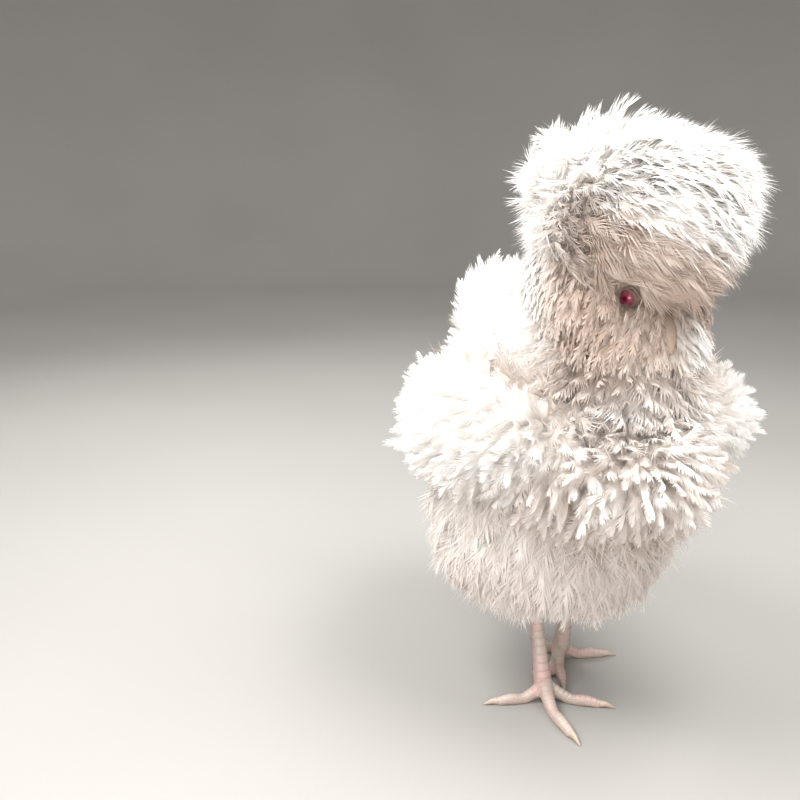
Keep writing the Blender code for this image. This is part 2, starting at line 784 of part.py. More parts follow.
def plant_wing(plumage, chance, side):
    """Coverts in tiers over the outer face, and the flight feathers out from under them."""
    sign = 1 if side == "left" else -1
    rows = smooth([(sign * x, y, z) for x, y, z, _, _ in WING], 7)
    for k, place in enumerate(rows[:6]):
        for lean in np.arange(-60, 70, 42) + 14 * (k % 2):
            turn = math.radians(lean)
            direction = Vector((sign * math.cos(turn), -0.05, math.sin(turn))).normalized()
            plumage.plant("wing_" + side, Vector(place), direction, towards(WING_LIE), "covert", chance)
    for k, lean in enumerate((-80, -54, -28, 0)):
        turn = math.radians(lean)
        place = Vector(rows[5]).lerp(Vector(rows[3]), k / 5)
        direction = Vector((sign * 0.7 * math.cos(turn), 0.55, math.sin(turn) * 0.8)).normalized()
        plumage.plant("wing_" + side, place, direction, towards(WING_LIE), "flight", chance)


def plant_tail(plumage, chance):
    """A short tented fan in two tiers, carried a little to the left, with coverts over its root."""
    start = Vector((0, *TAIL_BASE[1][:2]))
    for tier, (count, spread, lift) in enumerate(TAIL_TIERS):
        for k in range(count):
            share = 2 * k / (count - 1) - 1
            aside, rise = math.radians(TAIL_SKEW + spread * share), math.radians(lift - 12 * abs(share))
            level = Vector((math.sin(aside), math.cos(aside), 0))
            along = level * math.cos(rise) + Vector((0, 0, math.sin(rise)))
            crown = Vector((share * 0.8, -0.8, 0.6))
            crown -= along * crown.dot(along)
            root = start + Vector((share * 0.006, 0.004, 0.004 * tier))
            plumage.plant_at("tail", root, crown.normalized(), along, "tail_feather", chance)
    pole = Vector((0.15, 0.56, 0.82)).normalized()
    for _, direction in ring_directions(pole, ((54, 3), (88, 5))):
        plumage.plant("tail", start, direction, towards(pole), "tail_covert", chance)


def plant_thigh(plumage, chance, side):
    sign = 1 if side == "left" else -1
    hip, hock = Vector(LEGS[side]["hip"]), Vector(LEGS[side]["hock"])
    for k, share in enumerate((0.7, 1.0)):
        place = hip.lerp(hock, share) + Vector((sign * 0.004, 0, 0))
        for turn in (np.arange(6) + 0.5 * (k % 2)) * math.pi / 3:
            direction = Vector((sign * math.cos(turn), math.sin(turn), 0))
            plumage.plant("thigh_" + side, place, direction, thigh_lie, "thigh", chance)


def build():
    """Every node of the hen, its core cut clear of its neighbours and its feathers joined to it."""
    finishes = {
        "feather_white": FEATHER_WHITE,
        "face_skin": FACE_SKIN,
        "comb_red": COMB_RED,
        "eye_red": EYE_RED,
        "beak_horn": BEAK_HORN,
        "leg_skin": LEG_SKIN,
        "claw_horn": CLAW_HORN,
    }
    made = {name: material(name, finish) for name, finish in finishes.items()}
    nodes = []

    def add(obj, finish):
        obj.data.materials.clear()
        obj.data.materials.append(made[finish])
        nodes.append(obj)
        return obj

    def bills(grow):
        return [upper_bill(grow), lower_bill(grow)]

    def eyes(grow):
        return [eyeball(side, grow) for side in LEGS]

    lids = LID_THICKNESS * 2 + GAP
    add(head(), "face_skin")
    add(cut(comb(), head_core(GAP), upper_bill(GAP)), "comb_red")
    upper = cut(upper_bill(), head_core(GAP), *[nostril(side) for side in LEGS])
    add(upper, "beak_horn")
    add(cut(lower_bill(), head_core(GAP)), "beak_horn")
    for side in LEGS:
        add(eyeball(side), "eye_red")
        add(shank(side), "leg_skin")
        add(foot(side), "leg_skin")
        for index in range(len(TOES[side])):
            add(claw(side, index), "claw_horn")
    bare = list(nodes)

    def face():
        return [head_core(GAP), *bills(GAP), *eyes(lids)]

    cores = [
        cut(crest_core(), comb(GAP), *face()),
        cut(beard_core(), crest_core(GAP), *face()),
        torso_core(),
        cut(neck_core(), torso_core(GAP), crest_core(GAP), beard_core(GAP), *face()),
        cut(tail_core(), torso_core(GAP)),
    ]
    for side in LEGS:
        cores.append(cut(wing_core(side), torso_core(GAP), neck_core(GAP)))
        cores.append(cut(thigh_core(side), other_half(side), torso_core(GAP), shank(side, GAP)))
    torso = cores[2]
    cut(torso, *[shank(side, GAP) for side in LEGS])

    views = [eye_view(side) for side in LEGS]
    plumage = Plumage(cores, bare + views)
    plant_beard(plumage, random.Random(11))
    plant_crest(plumage, random.Random(12))
    plant_neck(plumage, random.Random(23))
    plant_tail(plumage, random.Random(14))
    for side, seed in (("left", 15), ("right", 16)):
        plant_wing(plumage, random.Random(seed), side)
        plant_thigh(plumage, random.Random(seed + 10), side)
    plant_torso(plumage, random.Random(17))
    for view in views:
        bpy.data.objects.remove(view)
    for core in cores:
        add(plumage.fuse(core.name), "feather_white")
    return nodes


def stand_on_origin(nodes):
    """Moves every node so that the bottom centre of their bounding box is the origin."""
    corners = np.array([v.co for obj in nodes for v in obj.data.vertices])
    low, high = corners.min(axis=0), corners.max(axis=0)
    shift = Matrix.Translation((-(low[0] + high[0]) / 2, -(low[1] + high[1]) / 2, -low[2]))
    for obj in nodes:
        obj.data.transform(shift)


def main():
    for obj in list(bpy.data.objects):
        bpy.data.objects.remove(obj)
    stand_on_origin(build())


main()
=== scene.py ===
"""The looks of the crested hen: one skin under a coat of single feathers, eyes, bill, comb and scaled legs.

Everything is made in the hen's own frame, where it was designed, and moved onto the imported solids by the
place of an eye. A feather is a curved shaft that carries narrow blades of barbs on both sides.
"""

import math

import bmesh
import bpy
import numpy as np
from mathutils import Matrix, Vector
from mathutils.bvhtree import BVHTree


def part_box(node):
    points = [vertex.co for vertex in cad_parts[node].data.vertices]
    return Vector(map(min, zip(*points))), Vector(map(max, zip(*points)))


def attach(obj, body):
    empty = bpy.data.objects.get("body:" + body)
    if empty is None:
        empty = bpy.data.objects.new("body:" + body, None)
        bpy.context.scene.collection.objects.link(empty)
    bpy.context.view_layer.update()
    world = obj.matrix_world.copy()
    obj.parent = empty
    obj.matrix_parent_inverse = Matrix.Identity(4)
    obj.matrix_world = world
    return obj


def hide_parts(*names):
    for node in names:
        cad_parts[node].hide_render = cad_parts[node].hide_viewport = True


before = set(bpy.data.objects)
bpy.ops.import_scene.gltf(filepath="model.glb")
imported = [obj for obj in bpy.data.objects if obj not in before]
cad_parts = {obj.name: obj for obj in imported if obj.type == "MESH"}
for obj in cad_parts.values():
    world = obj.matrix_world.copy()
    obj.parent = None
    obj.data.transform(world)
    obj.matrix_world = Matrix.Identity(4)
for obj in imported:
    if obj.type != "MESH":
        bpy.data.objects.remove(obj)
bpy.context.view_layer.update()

# Torso stations from the tail base to the breast: y, z, half width, half height up, half height down
TORSO = (
    (0.094, 0.178, 0.014, 0.011, 0.014),
    (0.076, 0.170, 0.031, 0.024, 0.031),
    (0.046, 0.161, 0.045, 0.036, 0.045),
    (0.012, 0.157, 0.052, 0.043, 0.053),
    (-0.020, 0.159, 0.053, 0.045, 0.054),
    (-0.046, 0.164, 0.047, 0.040, 0.049),
    (-0.065, 0.168, 0.037, 0.031, 0.039),
    (-0.077, 0.170, 0.024, 0.020, 0.026),
)
# Neck stations from the shoulders to the skull: x, y, z, radius
NECK = (
    (0.000, -0.030, 0.190, 0.034),
    (0.001, -0.036, 0.214, 0.027),
    (0.002, -0.041, 0.231, 0.021),
    (0.003, -0.045, 0.248, 0.016),
)
# Head: its centre, its turn towards the hen's right and how far the bill dips
HEAD_CENTRE = Vector((0.0034, -0.0579, 0.2582))
HEAD_TURN = math.radians(7.0)
HEAD_DIP = math.radians(28.0)
# Skull stations in the head's own frame, back to front: forward, up, half width, half height
SKULL = (
    (-0.0215, 0.0015, 0.0060, 0.0060),
    (-0.0150, 0.0020, 0.0125, 0.0125),
    (-0.0060, 0.0020, 0.0148, 0.0153),
    (0.0030, 0.0010, 0.0140, 0.0148),
    (0.0105, 0.0000, 0.0116, 0.0124),
    (0.0170, -0.0015, 0.0084, 0.0094),
)
EYE_PLACE = Vector((0.0060, 0.0100, 0.0022))
EYE_RADIUS = 0.0054
# How far the eye stands out of its place
EYE_BULGE = 0.0010
EYE_OUTWARD = Vector((0.52, 0.82, 0.26)).normalized()
# The clear view in front of each eye: its direction in the head's frame, its reach and end radii
EYE_VIEW = Vector((0.70, 0.50, 0.51)).normalized()
EYE_VIEW_REACH = 0.075
EYE_VIEW_RADII = (0.0037, 0.0088)

# Bill stations in the head's own frame: forward, up, half width, half height up, half height down
UPPER_BILL = (
    (0.0150, 0.0008, 0.0078, 0.0058, 0.0032),
    (0.0200, 0.0010, 0.0074, 0.0055, 0.0030),
    (0.0245, 0.0008, 0.0066, 0.0052, 0.0027),
    (0.0305, -0.0010, 0.0051, 0.0043, 0.0023),
    (0.0362, -0.0042, 0.0033, 0.0030, 0.0017),
    (0.0400, -0.0082, 0.0012, 0.0013, 0.0011),
)
LOWER_BILL = (
    (0.0150, -0.0062, 0.0066, 0.0026, 0.0030),
    (0.0205, -0.0063, 0.0062, 0.0025, 0.0029),
    (0.0252, -0.0066, 0.0054, 0.0023, 0.0025),
    (0.0315, -0.0080, 0.0038, 0.0017, 0.0019),
    (0.0362, -0.0101, 0.0017, 0.0009, 0.0011),
)
NOSTRIL_PLACE = Vector((0.0240, 0.0056, 0.0034))
NOSTRIL_REACH = 0.0024
NOSTRIL_DEPTH = 0.0012
# Left horn of the V-shaped comb in the head's own frame: forward, left, up, radius
COMB_HORN = (
    (0.0150, 0.0012, 0.0094, 0.0029),
    (0.0178, 0.0036, 0.0133, 0.0025),
    (0.0195, 0.0056, 0.0163, 0.0012),
)
# The knob of the skull that carries the crest, and where the crest feathers part, seen from it
KNOB_CENTRE = Vector((-0.001, -0.052, 0.280))
KNOB_RADII = (0.021, 0.022, 0.019)
CREST_WHORL = Vector((-0.44, 0.58, 0.69)).normalized()

# Wing stations from the shoulder to the folded tip, on the left side: x, y, z, thickness, height
WING = (
    (0.043, -0.052, 0.190, 0.010, 0.014),
    (0.050, -0.036, 0.186, 0.013, 0.025),
    (0.055, -0.004, 0.178, 0.013, 0.033),
    (0.054, 0.032, 0.170, 0.012, 0.029),
    (0.045, 0.064, 0.164, 0.009, 0.019),
    (0.036, 0.084, 0.160, 0.006, 0.010),
)
# Tail base stations, front to back: y, z, radius
TAIL_BASE = (
    (0.092, 0.178, 0.015),
    (0.111, 0.193, 0.014),
    (0.119, 0.206, 0.009),
)
# Tiers of tail feathers: how many, their spread to each side and their lift, in degrees; the fan's skew
TAIL_TIERS = ((6, 24, 60), (5, 18, 66), (4, 12, 74))
TAIL_SKEW = 38
TAIL_WAY = Vector((0.28, 0.42, 0.86)).normalized()

# The coat's outer forms, where the tips of the feathers lie.
# Crest: centre and radii
CREST_DOME = (Vector((0.0015, -0.054, 0.292)), (0.0555, 0.0530, 0.0515))
# Ruff of muffs, beard and hackles, downwards: x, y, z, half width, reach to the front, reach to the back
RUFF = (
    (-0.003, -0.046, 0.296, 0.036, 0.034, 0.036),
    (-0.004, -0.046, 0.276, 0.0460, 0.0400, 0.046),
    (-0.005, -0.046, 0.254, 0.0490, 0.0420, 0.052),
    (-0.002, -0.045, 0.234, 0.0480, 0.0460, 0.052),
    (0.000, -0.042, 0.214, 0.0540, 0.0540, 0.056),
    (0.001, -0.038, 0.198, 0.0600, 0.0600, 0.058),
    (0.001, -0.036, 0.183, 0.0620, 0.0650, 0.058),
)
# Room for the bill in the muffs, in the head's frame: where it begins, its half width and its underside
BILL_ROOM = (0.020, 0.0055, -0.013)
# White tuft of the beard, under the bill: its middle and its reach
BEARD_TUFT = (np.array((0.016, -0.088, 0.231)), 0.012)
# Breast, back and saddle, from the tail forwards: x, y, z, half width, half height up, half height down
BODY_COAT = (
    (0.004, 0.108, 0.218, 0.028, 0.026, 0.034),
    (0.002, 0.085, 0.207, 0.044, 0.038, 0.055),
    (0.000, 0.055, 0.190, 0.058, 0.045, 0.075),
    (0.000, 0.020, 0.175, 0.071, 0.047, 0.080),
    (-0.002, -0.015, 0.166, 0.076, 0.046, 0.074),
    (-0.005, -0.050, 0.164, 0.070, 0.045, 0.054),
    (-0.005, -0.080, 0.166, 0.055, 0.038, 0.037),
    (-0.003, -0.101, 0.168, 0.035, 0.026, 0.025),
)
# Fluff of belly and flanks, downwards: x, y, z, half width, reach to the front, reach to the back
FLUFF_COAT = (
    (-0.003, 0.012, 0.152, 0.068, 0.078, 0.076),
    (-0.003, 0.012, 0.126, 0.0730, 0.077, 0.079),
    (-0.002, 0.012, 0.106, 0.0740, 0.075, 0.078),
    (0.000, 0.012, 0.090, 0.0720, 0.071, 0.074),
    (0.001, 0.012, 0.079, 0.0630, 0.062, 0.064),
)
# Wing, from the shoulder back, on the left side: x, y, z, half thickness, half height
WING_COAT = (
    (0.052, -0.062, 0.193, 0.020, 0.024),
    (0.059, -0.042, 0.190, 0.024, 0.033),
    (0.064, -0.004, 0.184, 0.026, 0.039),
    (0.061, 0.032, 0.179, 0.025, 0.039),
    (0.052, 0.064, 0.174, 0.021, 0.034),
    (0.044, 0.092, 0.170, 0.015, 0.024),
    (0.038, 0.110, 0.168, 0.009, 0.014),
)
# How much lower and how much further out each wing is carried
WING_DROP = {"left": 0.007, "right": 0.004}
WING_OUT = {"left": 0.007, "right": 0.009}
# Long feathers under the coverts of each wing
FLIGHTS = 14
# Coverts round the tail's root, upwards: x, y, z, radius
TAIL_COAT = (
    (0.005, 0.092, 0.197, 0.033),
    (0.012, 0.108, 0.216, 0.032),
    (0.020, 0.122, 0.236, 0.027),
    (0.027, 0.132, 0.251, 0.017),
)

# Legs, by side: the foot's place, the hock and the hip
LEGS = {
    "right": {"foot": (-0.0168, -0.0126), "hock": (-0.0180, 0.0100, 0.0860), "hip": (-0.030, 0.006, 0.128)},
    "left": {"foot": (0.0174, 0.0270), "hock": (0.0190, 0.0100, 0.0840), "hip": (0.030, 0.010, 0.128)},
}
SIGNS = {"left": 1, "right": -1}
# Thigh stations: share of the way from hip to hock; outward shift; radius
THIGH = (
    (0.0, 0.002, 0.024),
    (0.5, 0.004, 0.021),
    (0.9, 0.004, 0.013),
    (1.0, 0.002, 0.009),
)
SHANK_RADII = (0.0066, 0.0047, 0.0043, 0.0058)
# How high over the sole the shank ends in the foot's pad
SHANK_END = 0.010
# Toes: name, heading in degrees from straight ahead towards the hen's left, its bend on the way,
# length, root radius
TOES = {
    "right": (
        ("inner", 50.0, 14.0, 0.034, 0.0034),
        ("middle", -10.0, 26.0, 0.043, 0.0037),
        ("outer", -98.0, -22.0, 0.031, 0.0033),
        ("hind", 164.0, 0.0, 0.021, 0.0031),
    ),
    "left": (
        ("inner", -44.0, -8.0, 0.026, 0.0033),
        ("middle", -27.0, 6.0, 0.036, 0.0036),
        ("outer", 70.0, 8.0, 0.030, 0.0033),
        ("hind", 188.0, 0.0, 0.021, 0.0031),
    ),
}
# Along a toe: how high it lies over the sole, and its radius as a share of the root's
TOE_LIFT = (0.0040, 0.0022, 0.0, 0.0006, 0.0)
TOE_TAPER = (1.50, 1.14, 0.94, 0.96, 0.74)
CLAW_LENGTH = 0.0100
# Along a claw: share of its length, how far it has dropped, its radius as a share of the toe end's
CLAW = (
    (-0.1, 0, 0.80),
    (0.15, -0.0006, 0.82),
    (0.4, -0.0005, 0.66),
    (0.7, 0.0006, 0.42),
    (1, 0.0016, 0.10),
)
SOLE_SINK = 0.0007

# Camera: where the photograph was taken from, the level way it looks, its pitch and its lens
CAMERA_PLACE = Vector((-0.291, -0.448, 0.315))
CAMERA_AHEAD = (0.375, 0.927)
CAMERA_PITCH = math.radians(13.6)
CAMERA_LENS = 40.5
CAMERA_SENSOR = 36.0

# The rounded ends of a form: how many rings they have, and their depth as a share of the end's radius
DOME_RINGS = 6
DOME_DEPTH = 0.6
# The skin's grain and how often it is smoothed
SKIN_VOXEL = 0.0012
SKIN_SMOOTHINGS = 4
# Where the scaled skin of the legs begins, how far bare skin reaches round an eye, and how both blend
LEG_TOP = 0.092
LEG_BLEND = 0.006
BARE_REACH = 0.024
BARE_BLEND = 0.008
# How wide a feather's patch is in the unwrap that the export bakes
PATCH = 0.003
# Straight steps along a feather's curved shaft
SHAFT_STEPS = 14
# The longest reach of a coat feather from its root to its tip
CHORD_LIMIT = 0.066
# Blades end a little before the shaft does
SHAFT_END = 0.98
# How deep a feather sits in the skin, how near the skin its place has to be, and the lowest that it hangs
ROOT_DEPTH = 0.001
ROOT_LIMIT = 0.0025
LOWEST = 0.001
# Where a feather's smooth bend leaves its root and comes into its tip, as shares of its reach
ROOT_PULL = 0.42
TIP_PULL = 0.40

# How deep the tips of one region may lie in the next one's form
OVERLAP = 0.012
# Layers of a coat: how deep their tips lie under its outer form, and how much wider apart they are
COAT_LAYERS = ((0.0, 1.0), (0.009, 1.4))
CREST_LAYERS = ((0.0, 1.0), (0.006, 1.2))
# The side of the crest that lies smoothest faces the camera
CREST_FACE = -np.array((*CAMERA_AHEAD, 0.0))

# Kinds of feather. half: half width of the vane; blades: on each side; bare: share of the shaft below the
# first blade; lean and shut: how far the blades lean forward at the first blade and at the tip, in degrees;
# round: how round the tip is, from 0.4 to 1; fray: how uneven the blades are; cup: how far the vane's edges
# turn back; width: of a blade's middle, as a share of its foot; spread and twist: scatter in degrees; rise:
# from the skin, in degrees; curl: of the tip, over the way the feathers flow, in degrees; reach: how far
# the root lies upstream; spacing: between neighbours
FIELDS = (
    "half", "blades", "bare", "lean", "shut", "round", "fray", "cup", "width", "spread", "twist", "rise",
    "curl", "reach", "spacing",
)
FEATHER_ROWS = {
    "crest": (0.0080, 22, 0.34, 30, 83, 0.50, 0.20, 0.12, 0.56, 6, 10, 70, 12, 0.0, 0.0044),
    "fringe": (0.0036, 14, 0.25, 42, 80, 0.42, 0.60, 0.15, 0.34, 10, 40, 50, 10, 0.0, 0.0038),
    "face": (0.0018, 4, 0.05, 34, 70, 0.50, 0.60, 0.10, 0.40, 20, 20, 24, 38, 0.0085, 0.0016),
    "muff": (0.0031, 10, 0.25, 34, 78, 0.55, 0.36, 0.08, 0.34, 7, 14, 50, 2, 0.014, 0.0021),
    "hackle": (0.0066, 18, 0.28, 32, 82, 0.60, 0.42, 0.30, 0.42, 14, 45, 40, 80, 0.024, 0.0052),
    "breast": (0.0070, 24, 0.26, 32, 78, 0.90, 0.28, 0.50, 0.58, 20, 34, 24, 66, 0.034, 0.0056),
    "saddle": (0.0072, 22, 0.28, 32, 80, 0.80, 0.22, 0.42, 0.54, 16, 36, 24, 76, 0.032, 0.0062),
    "fluff": (0.0080, 18, 0.22, 42, 78, 0.60, 0.48, 0.10, 0.30, 8, 30, 30, 8, 0.028, 0.0047),
    "covert": (0.0074, 22, 0.28, 30, 78, 0.90, 0.28, 0.48, 0.56, 18, 34, 20, 100, 0.030, 0.0056),
    "flight": (0.0080, 22, 0.10, 34, 78, 0.60, 0.30, 0.10, 0.42, 6, 30, 4, 40, 0.066, 0.0080),
    "tail_feather": (0.0085, 22, 0.08, 34, 78, 0.60, 0.30, 0.10, 0.42, 4, 20, 0, 14, 0.066, 0.0080),
    "tail_covert": (0.0068, 18, 0.25, 32, 80, 0.60, 0.45, 0.30, 0.42, 16, 40, 24, 66, 0.026, 0.0060),
    "underdown": (0.0075, 8, 0.10, 40, 74, 0.50, 0.80, 0.10, 0.36, 40, 80, 50, 60, 0.014, 0.0056),
}
FEATHERS = {kind: dict(zip(FIELDS, row)) for kind, row in FEATHER_ROWS.items()}
# The start of each region's random draws
SEEDS = {
    "underdown": 30, "crest": 31, "face": 32, "ruff": 33, "body": 34, "fluff": 35,
    "wing_left": 36, "wing_right": 37, "tail": 39, "scutes": 40, "fringe": 41,
}


def head_frame():
    """The matrix from the head's own frame (forward, left, up) to the hen's."""
    level = Vector((-math.sin(HEAD_TURN), -math.cos(HEAD_TURN), 0))
    forward = level * math.cos(HEAD_DIP) - Vector((0, 0, math.sin(HEAD_DIP)))
    left = Vector((0, 0, 1)).cross(level)
    up = forward.cross(left)
    matrix = Matrix((forward, left, up)).transposed().to_4x4()
    matrix.translation = HEAD_CENTRE
    return matrix


HEAD = head_frame()


def mirrored(place, side):
    """A place given for the left side, on the side asked for."""
    return Vector((place[0], place[1] * SIGNS[side], place[2]))


EYE_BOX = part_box("eye_right")
# From the hen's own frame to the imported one
SHIFT = (EYE_BOX[0] + EYE_BOX[1]) / 2 - HEAD @ mirrored(EYE_PLACE, "right")


def ramp(values, start, span):
    """How far values have come from a start over a span, from 0 to 1."""
    return np.clip((values - start) / span, 0, 1)


def hump(values, middle, reach):
    """1 at the middle, falling evenly to 0 at the reach on both sides."""
    return np.clip(1 - abs(values - middle) / reach, 0, 1)


def smooth(rows, count):
    """Rows of numbers drawn through by a Catmull-Rom curve and read again at count places."""
    rows = np.array(rows, float)
    last = len(rows) - 1
    drawn = []
    for place in np.linspace(0, last, count):
        i = min(int(place), last - 1)
        f = place - i
        before, here, there, after = rows[max(i - 1, 0)], rows[i], rows[i + 1], rows[min(i + 2, last)]
        cubic = 2 * here + (there - before) * f
        cubic += (2 * before - 5 * here + 4 * there - after) * f**2
        cubic += (3 * here - before - 3 * there + after) * f**3
        drawn.append(cubic / 2)
    return drawn


def placed(name, data):
    """A new object of the scene that shows the data."""
    made = bpy.data.objects.new(name, data)
    bpy.context.scene.collection.objects.link(made)
    return made


def mesh_object(name, points, faces):
    """A mesh object with outward faces, still in the hen's own frame."""
    mesh = bpy.data.meshes.new(name)
    mesh.from_pydata([tuple(p) for p in points], [], faces)
    work = bmesh.new()
    work.from_mesh(mesh)
    bmesh.ops.recalc_face_normals(work, faces=work.faces)
    work.to_mesh(mesh)
    work.free()
    mesh.polygons.foreach_set("use_smooth", [True] * len(mesh.polygons))
    return placed(name, mesh)


def loft(name, stations, sides, rings, up=(0, 0, 1), shape=None):
    """A closed form through stations of (x, y, z, half width, half height up, half height down).

    shape(along, turn) gives how far each point moves out, for steps and swellings of the surface.
    """
    rows = smooth(stations, rings)
    centres = [Vector(row[:3]) for row in rows]
    sections = []
    for i, row in enumerate(rows):
        along = (centres[min(i + 1, rings - 1)] - centres[max(i - 1, 0)]).normalized()
        side = along.cross(Vector(up)).normalized()
        sections.append((centres[i], side, side.cross(along), row[3:6], along, i / (rings - 1)))
    turns = [2 * math.pi * k / sides for k in range(sides)]

    def ring(section, reach, share):
        """The points round one section, moved along by a reach and made smaller by a share."""
        centre, side, top, halves, along, at = section
        points = []
        for turn in turns:
            high = halves[1] if math.sin(turn) > 0 else halves[2]
            flat = side * (math.cos(turn) * halves[0]) + top * (math.sin(turn) * high)
            grown = flat * share
            if shape and share == 1.0:
                grown += flat.normalized() * shape(at, turn)
            points.append(centre + along * reach + grown)
        return points

    rise = [math.pi / 2 * (k + 1) / (DOME_RINGS + 1) for k in range(DOME_RINGS)]
    depth = [DOME_DEPTH * min(rows[0][3:6]), DOME_DEPTH * min(rows[-1][3:6])]
    rings_made = [ring(sections[0], -depth[0] * math.sin(a), math.cos(a)) for a in reversed(rise)]
    rings_made += [ring(section, 0, 1.0) for section in sections]
    rings_made += [ring(sections[-1], depth[1] * math.sin(a), math.cos(a)) for a in rise]
    points = [p for made in rings_made for p in made]
    points.append(sections[0][0] - sections[0][4] * depth[0])
    points.append(sections[-1][0] + sections[-1][4] * depth[1])
    faces = []
    for r in range(len(rings_made) - 1):
        for k in range(sides):
            a, b = r * sides + k, r * sides + (k + 1) % sides
            faces.append((a, b, b + sides, a + sides))
    start, end, last = len(points) - 2, len(points) - 1, (len(rings_made) - 1) * sides
    for k in range(sides):
        faces.append((start, (k + 1) % sides, k))
        faces.append((end, last + k, last + (k + 1) % sides))
    return mesh_object(name, points, faces)


def ball(name, centre, radii, matrix=None, segments=32, rings=20):
    """An ellipsoid set in a frame, with its points in the same order in every run."""
    place = (matrix or Matrix()) @ Matrix.Translation(centre) @ Matrix.Diagonal((*radii, 1))
    points = [place @ Vector((0, 0, 1))]
    for ring in range(1, rings):
        down = math.pi * ring / rings
        for k in range(segments):
            turn = 2 * math.pi * k / segments
            level = math.sin(down)
            points.append(place @ Vector((level * math.cos(turn), level * math.sin(turn), math.cos(down))))
    points.append(place @ Vector((0, 0, -1)))
    last = len(points) - 1
    faces = []
    for k in range(segments):
        after = (k + 1) % segments
        faces.append((0, 1 + k, 1 + after))
        faces.append((last, last - segments + after, last - segments + k))
        for start in range(1, last - segments, segments):
            faces.append((start + k, start + segments + k, start + segments + after, start + after))
    return mesh_object(name, points, faces)


def round_rows(stations):
    """Stations of (x, y, z, radius) as a form needs them."""
    return [(*place, r, r, r) for *place, r in stations]


def in_head(stations):
    """Stations given in the head's frame as (forward, up, half width, up, down), moved to the hen's."""
    return [(*(HEAD @ Vector((f, 0, u))), *halves) for f, u, *halves in stations]


def joined(name, objects):
    """The objects as one mesh object."""
    work = bmesh.new()
    for obj in objects:
        work.from_mesh(obj.data)
    mesh = bpy.data.meshes.new(name)
    work.to_mesh(mesh)
    work.free()
    for obj in objects:
        bpy.data.objects.remove(obj)
    return placed(name, mesh)


def apply_modifiers(obj):
    """Makes the object's modifiers part of its mesh."""
    graph = bpy.context.evaluated_depsgraph_get()
    mesh = bpy.data.meshes.new_from_object(obj.evaluated_get(graph))
    obj.modifiers.clear()
    obj.data = mesh
    mesh.name = obj.name


def settle(obj, nodes, finish):
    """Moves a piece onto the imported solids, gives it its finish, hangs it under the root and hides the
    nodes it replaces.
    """
    obj.data.transform(Matrix.Translation(SHIFT))
    obj.data.materials.clear()
    obj.data.materials.append(finish)
    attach(obj, "root")
    if nodes:
        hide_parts(*nodes)


def coordinates(mesh):
    """The vertices of a mesh as rows of numbers."""
    found = np.zeros(len(mesh.vertices) * 3)
    mesh.vertices.foreach_get("co", found)
    return found.reshape(-1, 3)


def add_values(mesh, name, values):
    """A number for each vertex that a material can read."""
    layer = mesh.attributes.new(name, "FLOAT", "POINT")
    layer.data.foreach_set("value", np.asarray(values, np.float32))


class Nodes:
    """Short calls for wiring a node tree."""

    def __init__(self, tree):
        self.tree = tree

    def fill(self, node, inputs):
        """Links or plain values for a node's inputs, by name or number."""
        for key, value in inputs.items():
            if isinstance(value, bpy.types.NodeSocket):
                self.tree.links.new(value, node.inputs[key])
            else:
                node.inputs[key].default_value = value
        return node

    def add(self, kind, inputs=None, **settings):
        """A node with settings, by the names of its properties, and inputs."""
        node = self.tree.nodes.new(kind)
        for key, value in settings.items():
            setattr(node, key, value)
        return self.fill(node, inputs or {})

    def reckon(self, operation, *values):
        """A number worked out from others, such as by MULTIPLY."""
        return self.add("ShaderNodeMath", dict(enumerate(values)), operation=operation).outputs[0]

    def ramp(self, factor, stops):
        """Colours or greys that follow a factor, as stops of (position, colour)."""
        node = self.add("ShaderNodeValToRGB", {"Fac": factor})
        elements = node.color_ramp.elements
        while len(elements) < len(stops):
            elements.new(0.5)
        for element, (position, colour) in zip(elements, stops):
            element.position = position
            element.color = (*colour, 1) if isinstance(colour, tuple) else (colour, colour, colour, 1)
        return node.outputs["Color"]

    def mix(self, factor, a, b, blend="MIX"):
        """Two colours mixed by a factor."""
        node = self.add("ShaderNodeMix", data_type="RGBA", blend_type=blend)
        a, b = ((*colour, 1) if isinstance(colour, tuple) else colour for colour in (a, b))
        return self.fill(node, {0: factor, 6: a, 7: b}).outputs[2]

    def attribute(self, name):
        """A number that the mesh carries for each vertex."""
        return self.add("ShaderNodeAttribute", attribute_name=name).outputs["Fac"]


def effect_group(name, inputs, outputs):
    """An empty node group with named sockets, and its wiring helper, group input and output."""
    tree = bpy.data.node_groups.new(name, "ShaderNodeTree")
    for socket, kind, value in inputs:
        made = tree.interface.new_socket(socket, in_out="INPUT", socket_type=kind)
        made.default_value = value
    for socket, kind in outputs:
        tree.interface.new_socket(socket, in_out="OUTPUT", socket_type=kind)
    nodes = Nodes(tree)
    return tree, nodes, nodes.add("NodeGroupInput"), nodes.add("NodeGroupOutput")


def mottle_group():
    """Soft patches and fine grain: a colour that drifts between two, and a height."""
    colour, number = "NodeSocketColor", "NodeSocketFloat"
    tree, nodes, given, out = effect_group(
        "mottle",
        (
            ("Base", colour, (1, 1, 1, 1)),
            ("Patch", colour, (0.8, 0.8, 0.8, 1)),
            ("Patch Scale", number, 60.0),
            ("Grain Scale", number, 900.0),
        ),
        (("Color", colour), ("Height", number)),
    )
    place = nodes.add("ShaderNodeTexCoord").outputs["Object"]
    patches, grain = (
        nodes.add("ShaderNodeTexNoise", {"Vector": place, "Scale": given.outputs[name]})
        for name in ("Patch Scale", "Grain Scale")
    )
    share = nodes.ramp(patches.outputs["Fac"], ((0.35, 0.0), (0.65, 1.0)))
    mixed = nodes.mix(share, given.outputs["Base"], given.outputs["Patch"])
    tree.links.new(mixed, out.inputs["Color"])
    tree.links.new(grain.outputs["Fac"], out.inputs["Height"])
    return tree


